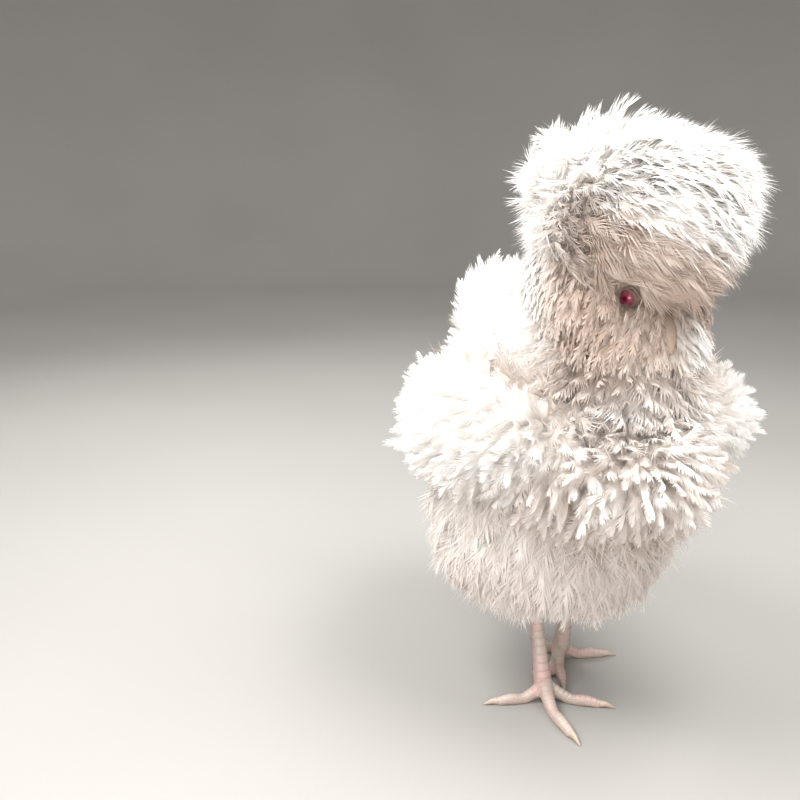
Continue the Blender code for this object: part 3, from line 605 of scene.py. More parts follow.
def scale_group():
    """Small rounded scales: a mask of the seams between them, and a height."""
    number = "NodeSocketFloat"
    tree, nodes, given, out = effect_group(
        "scales", (("Scale", number, 500.0),), (("Seam", number), ("Height", number))
    )
    place = nodes.add("ShaderNodeTexCoord").outputs["Object"]
    sizes = {"Vector": place, "Scale": given.outputs["Scale"]}
    cells = nodes.add("ShaderNodeTexVoronoi", sizes, feature="DISTANCE_TO_EDGE")
    seam = nodes.ramp(cells.outputs["Distance"], ((0.0, 1.0), (0.12, 0.0)))
    height = nodes.ramp(cells.outputs["Distance"], ((0.0, 0.0), (0.25, 1.0)))
    tree.links.new(seam, out.inputs["Seam"])
    tree.links.new(height, out.inputs["Height"])
    return tree


def surface(name, roughness, **settings):
    """A new material, its wiring helper and its shader, with plain values set on the shader."""
    made = bpy.data.materials.new(name)
    made.use_nodes = True
    nodes = Nodes(made.node_tree)
    shader = made.node_tree.nodes["Principled BSDF"]
    shader.inputs["Roughness"].default_value = roughness
    for key, value in settings.items():
        shader.inputs[key.replace("_", " ")].default_value = value
    return made, nodes, shader


def painted(nodes, shader, colour, height=None, strength=0, distance=0):
    """A colour on a shader, and a bump from a height if there is one."""
    nodes.tree.links.new(colour, shader.inputs["Base Color"])
    if height:
        bump = nodes.add("ShaderNodeBump", {"Height": height, "Strength": strength, "Distance": distance})
        nodes.tree.links.new(bump.outputs["Normal"], shader.inputs["Normal"])


MOTTLE = mottle_group()
SCALES = scale_group()


def mottled(nodes, base, patch, patch_scale, grain_scale):
    """The mottle effect with its own values."""
    group = nodes.add("ShaderNodeGroup", node_tree=MOTTLE)
    nodes.fill(group, {"Base": (*base, 1), "Patch": (*patch, 1)})
    return nodes.fill(group, {"Patch Scale": patch_scale, "Grain Scale": grain_scale})


def feather_finish():
    """White barbs with painted shade: darker at the root and beige by region; a little light comes through.
    """
    made, nodes, shader = surface("feather_white", 0.72)
    reach, painted_shade, tone = (nodes.attribute(name) for name in ("reach", "painted_shade", "tone"))
    # The white darkens towards the root: painted shade deep in the coat
    white = nodes.ramp(
        reach,
        (
            (0.0, (0.85, 0.80, 0.76)),
            (0.25, (0.92, 0.90, 0.87)),
            (0.55, (0.96, 0.955, 0.945)),
            (1.0, (0.98, 0.98, 0.975)),
        ),
    )
    # Beige of painted shade, darker still towards the root
    shade_beige = nodes.ramp(
        reach, ((0.0, (0.54, 0.42, 0.35)), (0.45, (0.61, 0.49, 0.41)), (1.0, (0.67, 0.55, 0.47)))
    )
    # Each feather's painted shade value mixes the beige in
    coat = nodes.mix(painted_shade, white, shade_beige)
    shade = nodes.ramp(tone, ((0.0, (0.92, 0.90, 0.88)), (0.5, (1.0, 1.0, 1.0))))
    colour = nodes.mix(1.0, coat, shade, "MULTIPLY")
    painted(nodes, shader, colour)
    through = nodes.add("ShaderNodeBsdfTranslucent", {"Color": colour})
    share_through = 0.38
    both = nodes.add("ShaderNodeMixShader", {0: share_through, 1: shader.outputs[0], 2: through.outputs[0]})
    nodes.tree.links.new(both.outputs[0], nodes.tree.nodes["Material Output"].inputs["Surface"])
    return made


def skin_finish():
    """Cream under the coat, pink on the bare face, grey tan and scaled down the legs."""
    made, nodes, shader = surface("bird_skin", 0.55, Subsurface_Weight=0.15, Subsurface_Scale=0.003)
    face = mottled(nodes, (0.72, 0.50, 0.43), (0.60, 0.38, 0.33), 260.0, 2600.0)
    leg = mottled(nodes, (0.52, 0.44, 0.38), (0.58, 0.39, 0.36), 60.0, 2400.0)
    body = mottled(nodes, (0.80, 0.71, 0.62), (0.72, 0.62, 0.53), 60.0, 1500.0)
    scales = nodes.fill(nodes.add("ShaderNodeGroup", node_tree=SCALES), {"Scale": 620.0})
    bare = nodes.attribute("bare")
    low = nodes.attribute("leg")
    seam = nodes.reckon("MULTIPLY", scales.outputs["Seam"], 0.45)
    leg_colour = nodes.mix(seam, leg.outputs["Color"], (0.36, 0.27, 0.22))
    colour = nodes.mix(low, nodes.mix(bare, body.outputs["Color"], face.outputs["Color"]), leg_colour)
    height = nodes.reckon("MULTIPLY", scales.outputs["Height"], low)
    grain = nodes.reckon("MULTIPLY_ADD", face.outputs["Height"], 0.5, height)
    painted(nodes, shader, colour, grain, 0.5, 0.0006)
    return made


def scute_finish():
    """Smooth horny plates with darker edges."""
    made, nodes, shader = surface("leg_scutes", 0.42, Subsurface_Weight=0.1, Subsurface_Scale=0.002)
    plate = mottled(nodes, (0.55, 0.47, 0.41), (0.62, 0.43, 0.40), 60.0, 2500.0)
    edge = nodes.attribute("edge")
    colour = nodes.mix(edge, plate.outputs["Color"], (0.45, 0.37, 0.32))
    painted(nodes, shader, colour, plate.outputs["Height"], 0.25, 0.0003)
    return made


def horn_finish(name, base, patch, tip, roughness):
    """Horn that pales or darkens towards its tip, with fine streaks and painted shade in the nostrils."""
    made, nodes, shader = surface(name, roughness, Subsurface_Weight=0.12, Subsurface_Scale=0.002)
    horn = mottled(nodes, base, patch, 200.0, 1800.0)
    colour = nodes.mix(nodes.attribute("reach"), horn.outputs["Color"], tip)
    # Painted shade: near black in the dents of the nostrils
    dark = nodes.mix(nodes.attribute("nostril_shade"), colour, (0.05, 0.03, 0.025))
    painted(nodes, shader, dark, horn.outputs["Height"], 0.2, 0.0003)
    return made


def flesh_finish(name, base, patch, roughness):
    """Moist bare skin with fine wrinkles."""
    made, nodes, shader = surface(name, roughness, Subsurface_Weight=0.25, Subsurface_Scale=0.002)
    flesh = mottled(nodes, base, patch, 400.0, 3000.0)
    painted(nodes, shader, flesh.outputs["Color"], flesh.outputs["Height"], 0.6, 0.0004)
    return made


def eye_finish():
    """A dark pupil in a crimson iris under a wet film."""
    made, nodes, shader = surface("eye", 0.08, Coat_Weight=1.0, Coat_Roughness=0.03)
    angle = nodes.attribute("angle")
    rings = nodes.ramp(
        angle,
        (
            (0.0, (0.40, 0.020, 0.080)),
            (0.13, (0.46, 0.026, 0.090)),
            (0.18, (0.80, 0.110, 0.210)),
            (0.40, (0.98, 0.300, 0.420)),
            (0.62, (0.96, 0.280, 0.390)),
            (0.80, (0.84, 0.220, 0.290)),
        ),
    )
    streaks = mottled(nodes, (1.0, 1.0, 1.0), (0.72, 0.60, 0.56), 900.0, 3000.0)
    colour = nodes.mix(1.0, rings, streaks.outputs["Color"], "MULTIPLY")
    painted(nodes, shader, colour)
    return made


def torso_form():
    """The body under its coat."""
    return loft("torso_form", [(0, *row) for row in TORSO], 40, 30)


def neck_form():
    """The neck, upwards."""
    return loft("neck_form", round_rows(NECK), 32, 18, up=(0, -1, 0))


def skull_form():
    """The skull without its knob."""
    return loft("skull_form", in_head([(f, u, wide, high, high) for f, u, wide, high in SKULL]), 36, 24)


def knob_form():
    """The knob of the skull, under the crest."""
    return ball("knob_form", KNOB_CENTRE, KNOB_RADII)


def wing_form(side):
    """The folded wing under its coverts."""
    sign = SIGNS[side]
    rows = [(sign * x, y, z, thick, high, high) for x, y, z, thick, high in WING]
    return loft("wing_form_" + side, rows, 28, 20)


def tail_form():
    """The root of the tail."""
    return loft("tail_form", [(0, y, z, r, r * 0.8, r * 0.8) for y, z, r in TAIL_BASE], 24, 10)


def thigh_form(side):
    """The thigh, from hip to hock."""
    leg = LEGS[side]
    hip, hock = Vector(leg["hip"]), Vector(leg["hock"])
    rows = []
    for share, shift, radius in THIGH:
        centre = hip.lerp(hock, share) + Vector((SIGNS[side] * shift, 0, 0))
        rows.append((*centre, radius))
    return loft("thigh_form_" + side, round_rows(rows), 28, 16, up=(0, -1, 0))


def shank_rows(side):
    """Stations of the shank, from the hock to the pad."""
    leg = LEGS[side]
    hock, sole = Vector(leg["hock"]), Vector((*leg["foot"], 0))
    low = sole.lerp(hock, SHANK_END / hock.z)
    rows = []
    for k, radius in enumerate(SHANK_RADII):
        rows.append((*hock.lerp(low, k / (len(SHANK_RADII) - 1)), radius))
    return round_rows(rows)


def toe_path(side, heading, bend, length, radius):
    """Stations from the foot's pad to the claw's root, with their undersides just below the floor."""
    last = len(TOE_LIFT) - 1
    place = Vector((*LEGS[side]["foot"], 0))
    rows = []
    for k, (rise, share) in enumerate(zip(TOE_LIFT, TOE_TAPER)):
        turn = math.radians(heading + bend * ((k - 0.5) / last - 0.5))
        ahead = Vector((math.sin(turn), -math.cos(turn), 0))
        if k:
            place += ahead * (length / last)
        thick = radius * share
        rows.append((place.x, place.y, thick - SOLE_SINK + rise, thick))
    return round_rows(rows), ahead


def toe_pads(at, turn):
    """The swollen pads under a toe."""
    under = max(-math.sin(turn), 0)
    return 0.0005 * under * math.sin(at * math.pi * 3.5) ** 2


def leg_forms(side):
    """The shank and the toes, to be joined to the skin."""
    forms = [loft("shank_form", shank_rows(side), 24, 24, up=(0, -1, 0))]
    for _, *toe in TOES[side]:
        forms.append(loft("toe_form", toe_path(side, *toe)[0], 20, 24, shape=toe_pads))
    return forms


def make_skin():
    """One skin over body, head, wings and legs, unwrapped for the export."""
    forms = [torso_form(), neck_form(), skull_form(), knob_form(), tail_form()]
    for side in LEGS:
        forms += [wing_form(side), thigh_form(side), *leg_forms(side)]
    skin = joined("skin", forms)
    remesh = skin.modifiers.new("one", "REMESH")
    remesh.mode = "VOXEL"
    remesh.voxel_size = SKIN_VOXEL
    remesh.use_smooth_shade = True
    soften = skin.modifiers.new("soften", "SMOOTH")
    soften.factor = 0.5
    soften.iterations = SKIN_SMOOTHINGS
    apply_modifiers(skin)
    places = coordinates(skin.data)
    places[:, 2] = np.maximum(places[:, 2], 0.0)
    skin.data.vertices.foreach_set("co", places.ravel())
    add_values(skin.data, "leg", ramp(-places[:, 2], -LEG_TOP, LEG_BLEND))
    eyes = [np.array(HEAD @ mirrored(EYE_PLACE, side)) for side in LEGS]
    near = np.min([np.linalg.norm(places - eye, axis=1) for eye in eyes], axis=0)
    add_values(skin.data, "bare", ramp(-near, -BARE_REACH, BARE_BLEND))
    bpy.context.view_layer.objects.active = skin
    skin.select_set(True)
    bpy.ops.object.mode_set(mode="EDIT")
    bpy.ops.mesh.select_all(action="SELECT")
    bpy.ops.uv.smart_project(angle_limit=math.radians(66), island_margin=0.003)
    bpy.ops.object.mode_set(mode="OBJECT")
    skin.data.uv_layers.active.name = "OFBake"
    skin.data.update()
    return skin


def search_tree(mesh):
    """A mesh as a tree that finds the nearest place on it."""
    return BVHTree.FromPolygons([v.co for v in mesh.vertices], [p.vertices[:] for p in mesh.polygons])


class Ground:
    """The skin as feathers need it: the nearest place on it, its normal, and its place in the unwrap."""

    def __init__(self, skin):
        mesh = skin.data
        self.tree = search_tree(mesh)
        loops = np.zeros(len(mesh.loops) * 2)
        mesh.uv_layers["OFBake"].data.foreach_get("uv", loops)
        loops = loops.reshape(-1, 2)
        starts = np.zeros(len(mesh.polygons), int)
        mesh.polygons.foreach_get("loop_start", starts)
        totals = np.zeros(len(mesh.polygons), int)
        mesh.polygons.foreach_get("loop_total", totals)
        self.unwrap = np.add.reduceat(loops, starts, axis=0) / totals[:, None]

    def roots(self, points, limit=1.0):
        """Places, normals and unwrap places on the skin nearest to points, and which are near enough."""
        places, normals, unwraps, near = [], [], [], []
        for point in points:
            place, normal, face, away = self.tree.find_nearest(Vector(point))
            places.append(place)
            normals.append(normal)
            unwraps.append(self.unwrap[face])
            near.append(away < limit)
        return np.array(places), np.array(normals), np.array(unwraps), np.array(near, bool)


class Outside:
    """A closed form that tells how far points lie outside it; inside counts as less than nothing."""

    def __init__(self, obj):
        self.tree = search_tree(obj.data)
        bpy.data.objects.remove(obj)

    def away(self, points):
        """How far out each point lies."""
        found = []
        for point in points:
            place, normal, _, distance = self.tree.find_nearest(Vector(point))
            found.append(distance if (Vector(point) - place).dot(normal) > 0 else -distance)
        return np.array(found)


def spread_points(obj, kind, chance, wider=1.0):
    """Places for feathers of a kind over an object's surface, and its normals there; it is then removed."""
    spacing = FEATHERS[kind]["spacing"] * wider
    mesh = obj.data
    mesh.calc_loop_triangles()
    places = coordinates(mesh)
    corners = np.array([t.vertices[:] for t in mesh.loop_triangles])
    a, b, c = (places[corners[:, k]] for k in range(3))
    normals = np.cross(b - a, c - a)
    areas = np.linalg.norm(normals, axis=1) / 2
    count = int(areas.sum() / spacing**2 * 4)
    chosen = chance.choice(len(corners), count, p=areas / areas.sum())
    u, v = chance.random((2, count, 1))
    over = (u + v) > 1
    u, v = np.where(over, 1 - u, u), np.where(over, 1 - v, v)
    points = a[chosen] + (b - a)[chosen] * u + (c - a)[chosen] * v
    cells, kept = {}, []
    for index, point in enumerate(points):
        cell = tuple((point // spacing).astype(int))
        near = [
            other
            for dx in (-1, 0, 1)
            for dy in (-1, 0, 1)
            for dz in (-1, 0, 1)
            for other in cells.get((cell[0] + dx, cell[1] + dy, cell[2] + dz), ())
        ]
        if all(((point - other) ** 2).sum() > spacing**2 for other in near):
            cells.setdefault(cell, []).append(point)
            kept.append(index)
    bpy.data.objects.remove(obj)
    return points[kept], unit(normals[chosen[kept]])


def unit(vectors):
    """Vectors made one long."""
    return vectors / np.maximum(np.linalg.norm(vectors, axis=-1, keepdims=True), 1e-9)


def turned(vectors, axes, angles):
    """Vectors turned about axes that stand square to them."""
    angles = angles[..., None]
    return vectors * np.cos(angles) + np.cross(axes, vectors) * np.sin(angles)


class Coat:
    """Feathers gathered for one joined mesh."""

    def __init__(self):
        self.points, self.faces, self.count = [], [], 0
        self.values = {"reach": [], "tone": [], "painted_shade": []}
        self.unwraps = []

    def keep(self, points, reach, tone, painted_shade, unwraps, pattern):
        """Adds blades: points (blades, corners, 3) with the same faces each."""
        blades, corners = points.shape[:2]
        starts = self.count + np.arange(blades) * corners
        self.faces.append((starts[:, None, None] + np.array(pattern)[None]).reshape(-1, 3))
        self.points.append(points.reshape(-1, 3))
        for name, value in (("reach", reach), ("tone", tone), ("painted_shade", painted_shade)):
            self.values[name].append(np.broadcast_to(value, (blades, corners)).ravel())
        self.unwraps.append(unwraps.reshape(-1, 2))
        self.count += blades * corners

    def grow(self, kind, roots, normals, lies, unwraps, chance, painted_shade):
        """Feathers of a kind from places on the skin, bending from their rise to their curl."""
        k = FEATHERS[kind]
        n = len(roots)
        flat = unit(lies - normals * (lies * normals).sum(1, keepdims=True))
        flat = turned(flat, normals, np.radians(chance.normal(0, k["spread"], n)))
        length = k["reach"] * chance.uniform(0.85, 1.12, n)
        first = k["rise"] + chance.normal(0, 6, n)
        last = k["curl"] + chance.normal(0, 12, n)
        ts = np.linspace(0, 1, SHAFT_STEPS + 1)
        rise = np.radians(first[:, None] + (last - first)[:, None] * ts**1.4)
        along = flat[:, None] * np.cos(rise)[..., None] + normals[:, None] * np.sin(rise)[..., None]
        steps = along[:, :-1] * (length / SHAFT_STEPS)[:, None, None]
        shaft = np.concatenate([np.zeros((n, 1, 3)), np.cumsum(steps, axis=1)], axis=1)
        shaft += (roots - normals * ROOT_DEPTH)[:, None]
        self.dress(k, shaft, np.cross(flat, normals), unwraps, chance, painted_shade)

    def stretch(self, kind, tips, outward, flow, chance, painted_shade, ground, aims=None, curl=None):
        """Feathers of a kind from the skin to tips on the coat's outer form, each a smooth bend between."""
        k = FEATHERS[kind]
        n = len(tips)
        flow = unit(flow - outward * (flow * outward).sum(1, keepdims=True))
        flow = turned(flow, outward, np.radians(chance.normal(0, k["spread"], n)))
        if aims is None:
            aims = tips - flow * (k["reach"] * chance.uniform(0.75, 1.2, n))[:, None]
        roots, normals, unwraps, _ = ground.roots(aims)
        shorter = np.minimum(1, CHORD_LIMIT / np.linalg.norm(tips - roots, axis=1))
        tips = roots + (tips - roots) * shorter[:, None]
        start = unit(flow - normals * (flow * normals).sum(1, keepdims=True))
        rise = np.radians(k["rise"] + chance.normal(0, 8, n))[:, None]
        curl = np.full(n, float(k["curl"])) if curl is None else curl
        curl = np.radians(curl + chance.normal(0, 4 + 10 * k["fray"], n))[:, None]
        chord = np.linalg.norm(tips - roots, axis=1)[:, None]
        points = [roots - normals * ROOT_DEPTH]
        points.append(points[0] + (start * np.cos(rise) + normals * np.sin(rise)) * chord * ROOT_PULL)
        points.append(tips - (flow * np.cos(curl) + outward * np.sin(curl)) * chord * TIP_PULL)
        points.append(tips)
        ts = np.linspace(0, 1, SHAFT_STEPS + 1)[None, :, None]
        weights = ((1 - ts) ** 3, 3 * ts * (1 - ts) ** 2, 3 * ts**2 * (1 - ts), ts**3)
        shaft = sum(weight * point[:, None] for weight, point in zip(weights, points))
        self.dress(k, shaft, np.cross(flow, outward), unwraps, chance, painted_shade)

    def dress(self, k, shaft, across, unwraps, chance, painted_shade):
        """Blades of barbs on both sides of shafts."""
        n = len(shaft)
        along = unit(np.gradient(shaft, axis=1))
        side = unit(across[:, None] - along * (along * across[:, None]).sum(-1, keepdims=True))
        crown = np.cross(side, along)
        turn = np.radians(chance.normal(0, k["twist"], n))[:, None] * np.linspace(0, 1, SHAFT_STEPS + 1)
        side, crown = (
            side * np.cos(turn)[..., None] + crown * np.sin(turn)[..., None],
            crown * np.cos(turn)[..., None] - side * np.sin(turn)[..., None],
        )
        half = k["half"] * chance.uniform(0.82, 1.18, n)
        tone = chance.random(n)
        for sign in (-1, 1):
            self.vane(k, shaft, along, side * sign, crown, half, unwraps, chance, painted_shade, tone, sign)

    def vane(self, k, shaft, along, side, crown, half, unwraps, chance, painted_shade, tone, sign):
        """The blades on one side of each shaft: a foot on the shaft, a middle and a tip."""
        n, blades = len(shaft), k["blades"]
        rows = np.arange(n)[:, None]

        def read(values, where):
            """Values along each shaft, read between its steps."""
            where = np.clip(where, 0, 1) * SHAFT_STEPS
            low = np.minimum(where.astype(int), SHAFT_STEPS - 1)
            share = (where - low)[..., None]
            return values[rows, low] * (1 - share) + values[rows, low + 1] * share

        step = (SHAFT_END - k["bare"]) / blades
        at = k["bare"] + step * (np.arange(blades)[None] + 0.5 + chance.normal(0, 0.15, (n, blades)))
        share = np.clip((at - k["bare"]) / (SHAFT_END - k["bare"]), 0, 1)
        knots = blades // 3 + 2
        places = np.linspace(0, knots - 1.001, blades)
        low = places.astype(int)
        clumps = chance.normal(0, 1, (n, knots))
        clump = clumps[:, low] * (1 - (places - low)) + clumps[:, low + 1] * (places - low)
        own = chance.normal(0, 1, (n, blades))
        profile = np.sin(np.pi * np.clip(share * 0.78 + 0.15, 0, 1)) ** 0.6
        reach = half[:, None] * profile * np.clip(1 + k["fray"] * (0.22 * clump + 0.18 * own), 0.35, 1.8)
        lean = k["lean"] + (k["shut"] - k["lean"]) * share**1.3 + k["fray"] * (11 * clump + 9 * own)
        lean = np.radians(np.clip(lean, 5, 88))
        reach = (reach / np.maximum(np.cos(lean), k["round"]))[..., None]
        middle = at + step * 0.35
        foot_low, foot_high = read(shaft, at - step * 0.75), read(shaft, at + step * 0.75)
        forward, out, over = read(along, middle), read(side, middle), read(crown, middle)
        way = out * np.cos(lean)[..., None] + forward * np.sin(lean)[..., None]
        lift = (chance.normal(-k["cup"], 0.2 * k["fray"], at.shape) + 0.25 * k["fray"] * clump)[..., None]
        centre = (foot_low + foot_high) / 2
        width = (foot_high - foot_low) * k["width"]
        middle_place = centre + way * reach * 0.55 + over * reach * lift * 0.30
        tip = centre + way * reach + over * reach * lift + forward * reach * 0.10
        points = np.stack([foot_low, foot_high, middle_place + width, middle_place - width, tip], axis=2)
        edge = np.array([0.0, 0.0, 0.5, 0.5, 1.0])
        far = share[..., None] * 0.72 + edge * 0.28
        tone = np.broadcast_to(tone[:, None, None], far.shape)
        # Each feather's painted shade, at every corner of its blades
        shade_at_corners = np.broadcast_to(painted_shade[:, None, None], far.shape)
        patch = np.stack([np.broadcast_to(edge * sign * 0.5, far.shape), far - 0.5], axis=-1) * PATCH
        patch = patch + unwraps[:, None, None]
        points = points.reshape(-1, 5, 3)
        far, tone, shade_at_corners = far.reshape(-1, 5), tone.reshape(-1, 5), shade_at_corners.reshape(-1, 5)
        patch = patch.reshape(-1, 5, 2)
        kept = (points[:, :, 2].min(axis=1) > LOWEST) & ~in_eye_view(points).any(axis=1)
        pattern = ((0, 1, 2), (0, 2, 3), (3, 2, 4))
        self.keep(points[kept], far[kept], tone[kept], shade_at_corners[kept], patch[kept], pattern)

    def piece(self, name, finish):
        """The joined mesh, with its values for the material and its OFBake unwrap."""
        points, faces = np.concatenate(self.points), np.concatenate(self.faces)
        mesh = bpy.data.meshes.new(name)
        mesh.vertices.add(len(points))
        mesh.vertices.foreach_set("co", points.astype(np.float32).ravel())
        mesh.loops.add(faces.size)
        mesh.loops.foreach_set("vertex_index", faces.astype(np.int32).ravel())
        mesh.polygons.add(len(faces))
        mesh.polygons.foreach_set("loop_start", np.arange(0, faces.size, 3, dtype=np.int32))
        mesh.polygons.foreach_set("use_smooth", np.ones(len(faces), bool))
        mesh.update(calc_edges=True)
        for key, values in self.values.items():
            add_values(mesh, key, np.concatenate(values))
        layer = mesh.uv_layers.new(name="OFBake")
        layer.data.foreach_set("uv", np.concatenate(self.unwraps)[faces.ravel()].astype(np.float32).ravel())
        print(name, len(faces), "triangles")
        settle(placed(name, mesh), [], finish)


def in_eye_view(points):
    """Which points stand in the clear view in front of an eye."""
    blocked = np.zeros(points.shape[:-1], bool)
    turn = HEAD.to_3x3()
    for side in LEGS:
        start = np.array(HEAD @ mirrored(EYE_PLACE, side))
        way = np.array(turn @ mirrored(EYE_VIEW, side))
        away = points - start
        depth = away @ way
        off = np.linalg.norm(away - depth[..., None] * way, axis=-1)
        first, last = EYE_VIEW_RADII
        radius = first + (last - first) * depth / EYE_VIEW_REACH
        blocked |= (depth > -0.002) & (depth < EYE_VIEW_REACH) & (off < radius)
    return blocked


def lateral(points):
    """How far points lie to the viewer's right of the crest's middle."""
    away = points - np.array(CREST_DOME[0])
    return away[:, 0] * CAMERA_AHEAD[1] - away[:, 1] * CAMERA_AHEAD[0]


def dome_form():
    """The crest's outer form."""
    return ball("dome_form", *CREST_DOME, segments=48, rings=32)


def ruff_form():
    """The outer form of muffs, beard and hackles."""
    return loft("ruff_form", RUFF, 36, 20, up=(0, -1, 0))


def body_coat_form():
    """The outer form of breast, back and saddle."""
    return loft("body_coat_form", BODY_COAT, 40, 30)


def fluff_form():
    """The outer form of the fluff."""
    return loft("fluff_form", FLUFF_COAT, 40, 20, up=(0, -1, 0))


def wing_coat_form(side):
    """The outer form of a wing's coverts."""
    sign, drop, aside = SIGNS[side], WING_DROP[side], WING_OUT[side]
    rows = [(sign * (x + aside), y, z - drop, thick, high, high) for x, y, z, thick, high in WING_COAT]
    return loft("wing_coat_form_" + side, rows, 32, 24)


def tail_coat_form():
    """The outer form of the tail's coverts."""
    return loft("tail_coat_form", round_rows(TAIL_COAT), 28, 14, up=(0, -1, 0))


def body_flow(p):
    """Down and out over the breast, back along the body, and up to the tail over the rump."""
    front = ramp(-p[:, 1], 0.015, 0.05)
    rump = ramp(p[:, 1], 0.04, 0.05)
    aside = p[:, 0] * 9 * front + 0.25 * rump
    return np.stack([aside, 1.0 - 1.05 * front, -0.25 - 0.85 * front + 0.75 * rump], axis=1)


def down_flow(p):
    """Down the belly and a little outwards."""
    return np.stack([p[:, 0] * 4, (p[:, 1] - 0.012) * 3, np.full(len(p), -1.0)], axis=1)


def ruff_flow(p):
    """Down the neck and outwards."""
    return np.stack([(p[:, 0] + 0.002) * 9, (p[:, 1] + 0.045) * 9, np.full(len(p), -1.0)], axis=1)


def uneven(painted_shade, chance, amount):
    """Painted shade that differs a little from feather to feather."""
    return np.clip(painted_shade + chance.normal(0, amount, len(painted_shade)), 0, 1)


def make_coats(ground, finish):
    """The coat of every region, each a joined mesh."""
    make_underdown(ground, finish)
    make_crest(ground, finish)
    make_face(ground, finish)
    make_ruff(ground, finish)
    make_body(ground, finish)
    make_fluff(ground, finish)
    for side in LEGS:
        make_wing(ground, finish, side)
    make_tail(ground, finish)


def make_underdown(ground, finish):
    """Soft short down on the skin, which closes the coat from within."""
    chance = np.random.default_rng(SEEDS["underdown"])
    coat = Coat()
    lowest = 0.086
    forms = [torso_form(), neck_form(), knob_form(), tail_form()]
    forms += [thigh_form(side) for side in LEGS]
    forms += [wing_form(side) for side in LEGS]
    for form in forms:
        points, _ = spread_points(form, "underdown", chance)
        roots, normals, unwraps, near = ground.roots(points, ROOT_LIMIT)
        near &= roots[:, 2] > lowest
        lies = chance.normal(0, 1, (len(roots), 3)) - [0, 0, 0.6]
        # The down is painted beige throughout, as shade deep in the coat
        painted_shade = np.full(near.sum(), 0.45)
        coat.grow("underdown", roots[near], normals[near], lies[near], unwraps[near], chance, painted_shade)
    coat.piece("coat_underdown", finish)


def crest_stand(ways, aside, near):
    """How far the crest's tips stand up, in degrees: most at its right and top, least at its face."""
    stand = 6 + 34 * np.clip(-aside / 0.03 + 0.35, 0, 1) * np.clip(ways[:, 2] + 0.35, 0, 1)
    stand += 16 * hump(aside, 0.012, 0.03) * np.clip(ways[:, 2] * 2 - 0.9, 0, 1)
    stand *= 1 - 0.75 * np.clip(ways @ CREST_FACE, 0, 1)
    return stand + (20 - stand) * near


def crest_proud(ways, aside, stand, chance):
    """How far the crest's tips stand out of its dome: single spikes, and fuller or flatter sides."""
    count, high = len(ways), ways[:, 2]
    spike, spiked, tall_spike, tall_spiked = 0.011, 0.22, 0.013, 0.35
    right, left = np.clip(-aside / 0.02 - 0.5, 0, 1), np.clip(aside / 0.02 - 0.5, 0, 1)
    proud = chance.normal(0, 0.0014, count)
    proud += spike * (chance.random(count) < spiked) * ramp(stand, 14, 20)
    proud += hump(high, 0.55, 0.35) * right * (0.004 + tall_spike * (chance.random(count) < tall_spiked))
    proud -= 0.004 * right * np.clip(0.5 - high, 0, 1)
    proud -= 0.006 * np.clip(aside / 0.02 - 1, 0, 1) * np.clip(-high * 3, 0, 1)
    proud += 0.007 * left * hump(high, 0.45, 0.4)
    return proud


def make_crest(ground, finish):
    """A dense helmet: feathers part at the whorl, arch over and sweep to the front and the hen's left."""
    chance = np.random.default_rng(SEEDS["crest"])
    centre, radii = np.array(CREST_DOME[0]), np.array(CREST_DOME[1])
    whorl = np.array(CREST_WHORL)
    layers = []
    for sunk, wider in CREST_LAYERS:
        layers.append((*spread_points(dome_form(), "crest", chance, wider), sunk))
    tips, outward = (np.concatenate([layer[k] for layer in layers]) for k in range(2))
    sunk = np.concatenate([np.full(len(layer[0]), layer[2]) for layer in layers])
    aside = lateral(tips)
    front = ramp(-tips[:, 1], -centre[1], 0.03)
    # The crest hangs lower in front and on the viewer's right
    edge, edge_front, edge_slope = 0.268, 0.010, 0.12
    chosen = tips[:, 2] > edge - edge_front * front - edge_slope * np.clip(aside, 0, 1)
    tips, outward, sunk = tips[chosen], outward[chosen], sunk[chosen]
    aside, front = aside[chosen], front[chosen]
    ways = unit((tips - centre) / radii)
    # Close to the whorl the feathers lie every way
    near = ramp(ways @ whorl, 0.80, 0.15)
    tangle = 0.35
    flow = ways - whorl + chance.normal(0, tangle, ways.shape) * near[:, None]
    stand = crest_stand(ways, aside, near)
    # Roots are drawn together towards the whorl
    tucked = unit(ways * 0.66 + whorl * 0.34 + chance.normal(0, 0.05, ways.shape))
    aims = np.array(KNOB_CENTRE) + tucked * np.array(KNOB_RADII)
    # The white cap ends in a slanting, wavy line; the tan under it and on the dome's underside is painted
    # shade
    cap, slant, wave, waves = 0.2945, 0.44, 0.0045, 330
    cap_edge = cap - slant * aside + wave * np.sin(aside * waves)
    plain, tan, shaded = 0.03, 0.72, 0.25
    painted_shade = plain + tan * front * np.clip((cap_edge + 0.004 - tips[:, 2]) / 0.016, 0, 1)
    painted_shade += shaded * np.clip(-ways[:, 2] - 0.1, 0, 1)
    proud = crest_proud(ways, aside, stand, chance)
    tips = tips + outward * (proud - sunk)[:, None]
    painted_shade = uneven(painted_shade, chance, 0.05)
    coat = Coat()
    coat.stretch("crest", tips, outward, flow, chance, painted_shade, ground, aims=aims, curl=stand)
    coat.piece("coat_crest", finish)
    make_fringe(ground, finish)


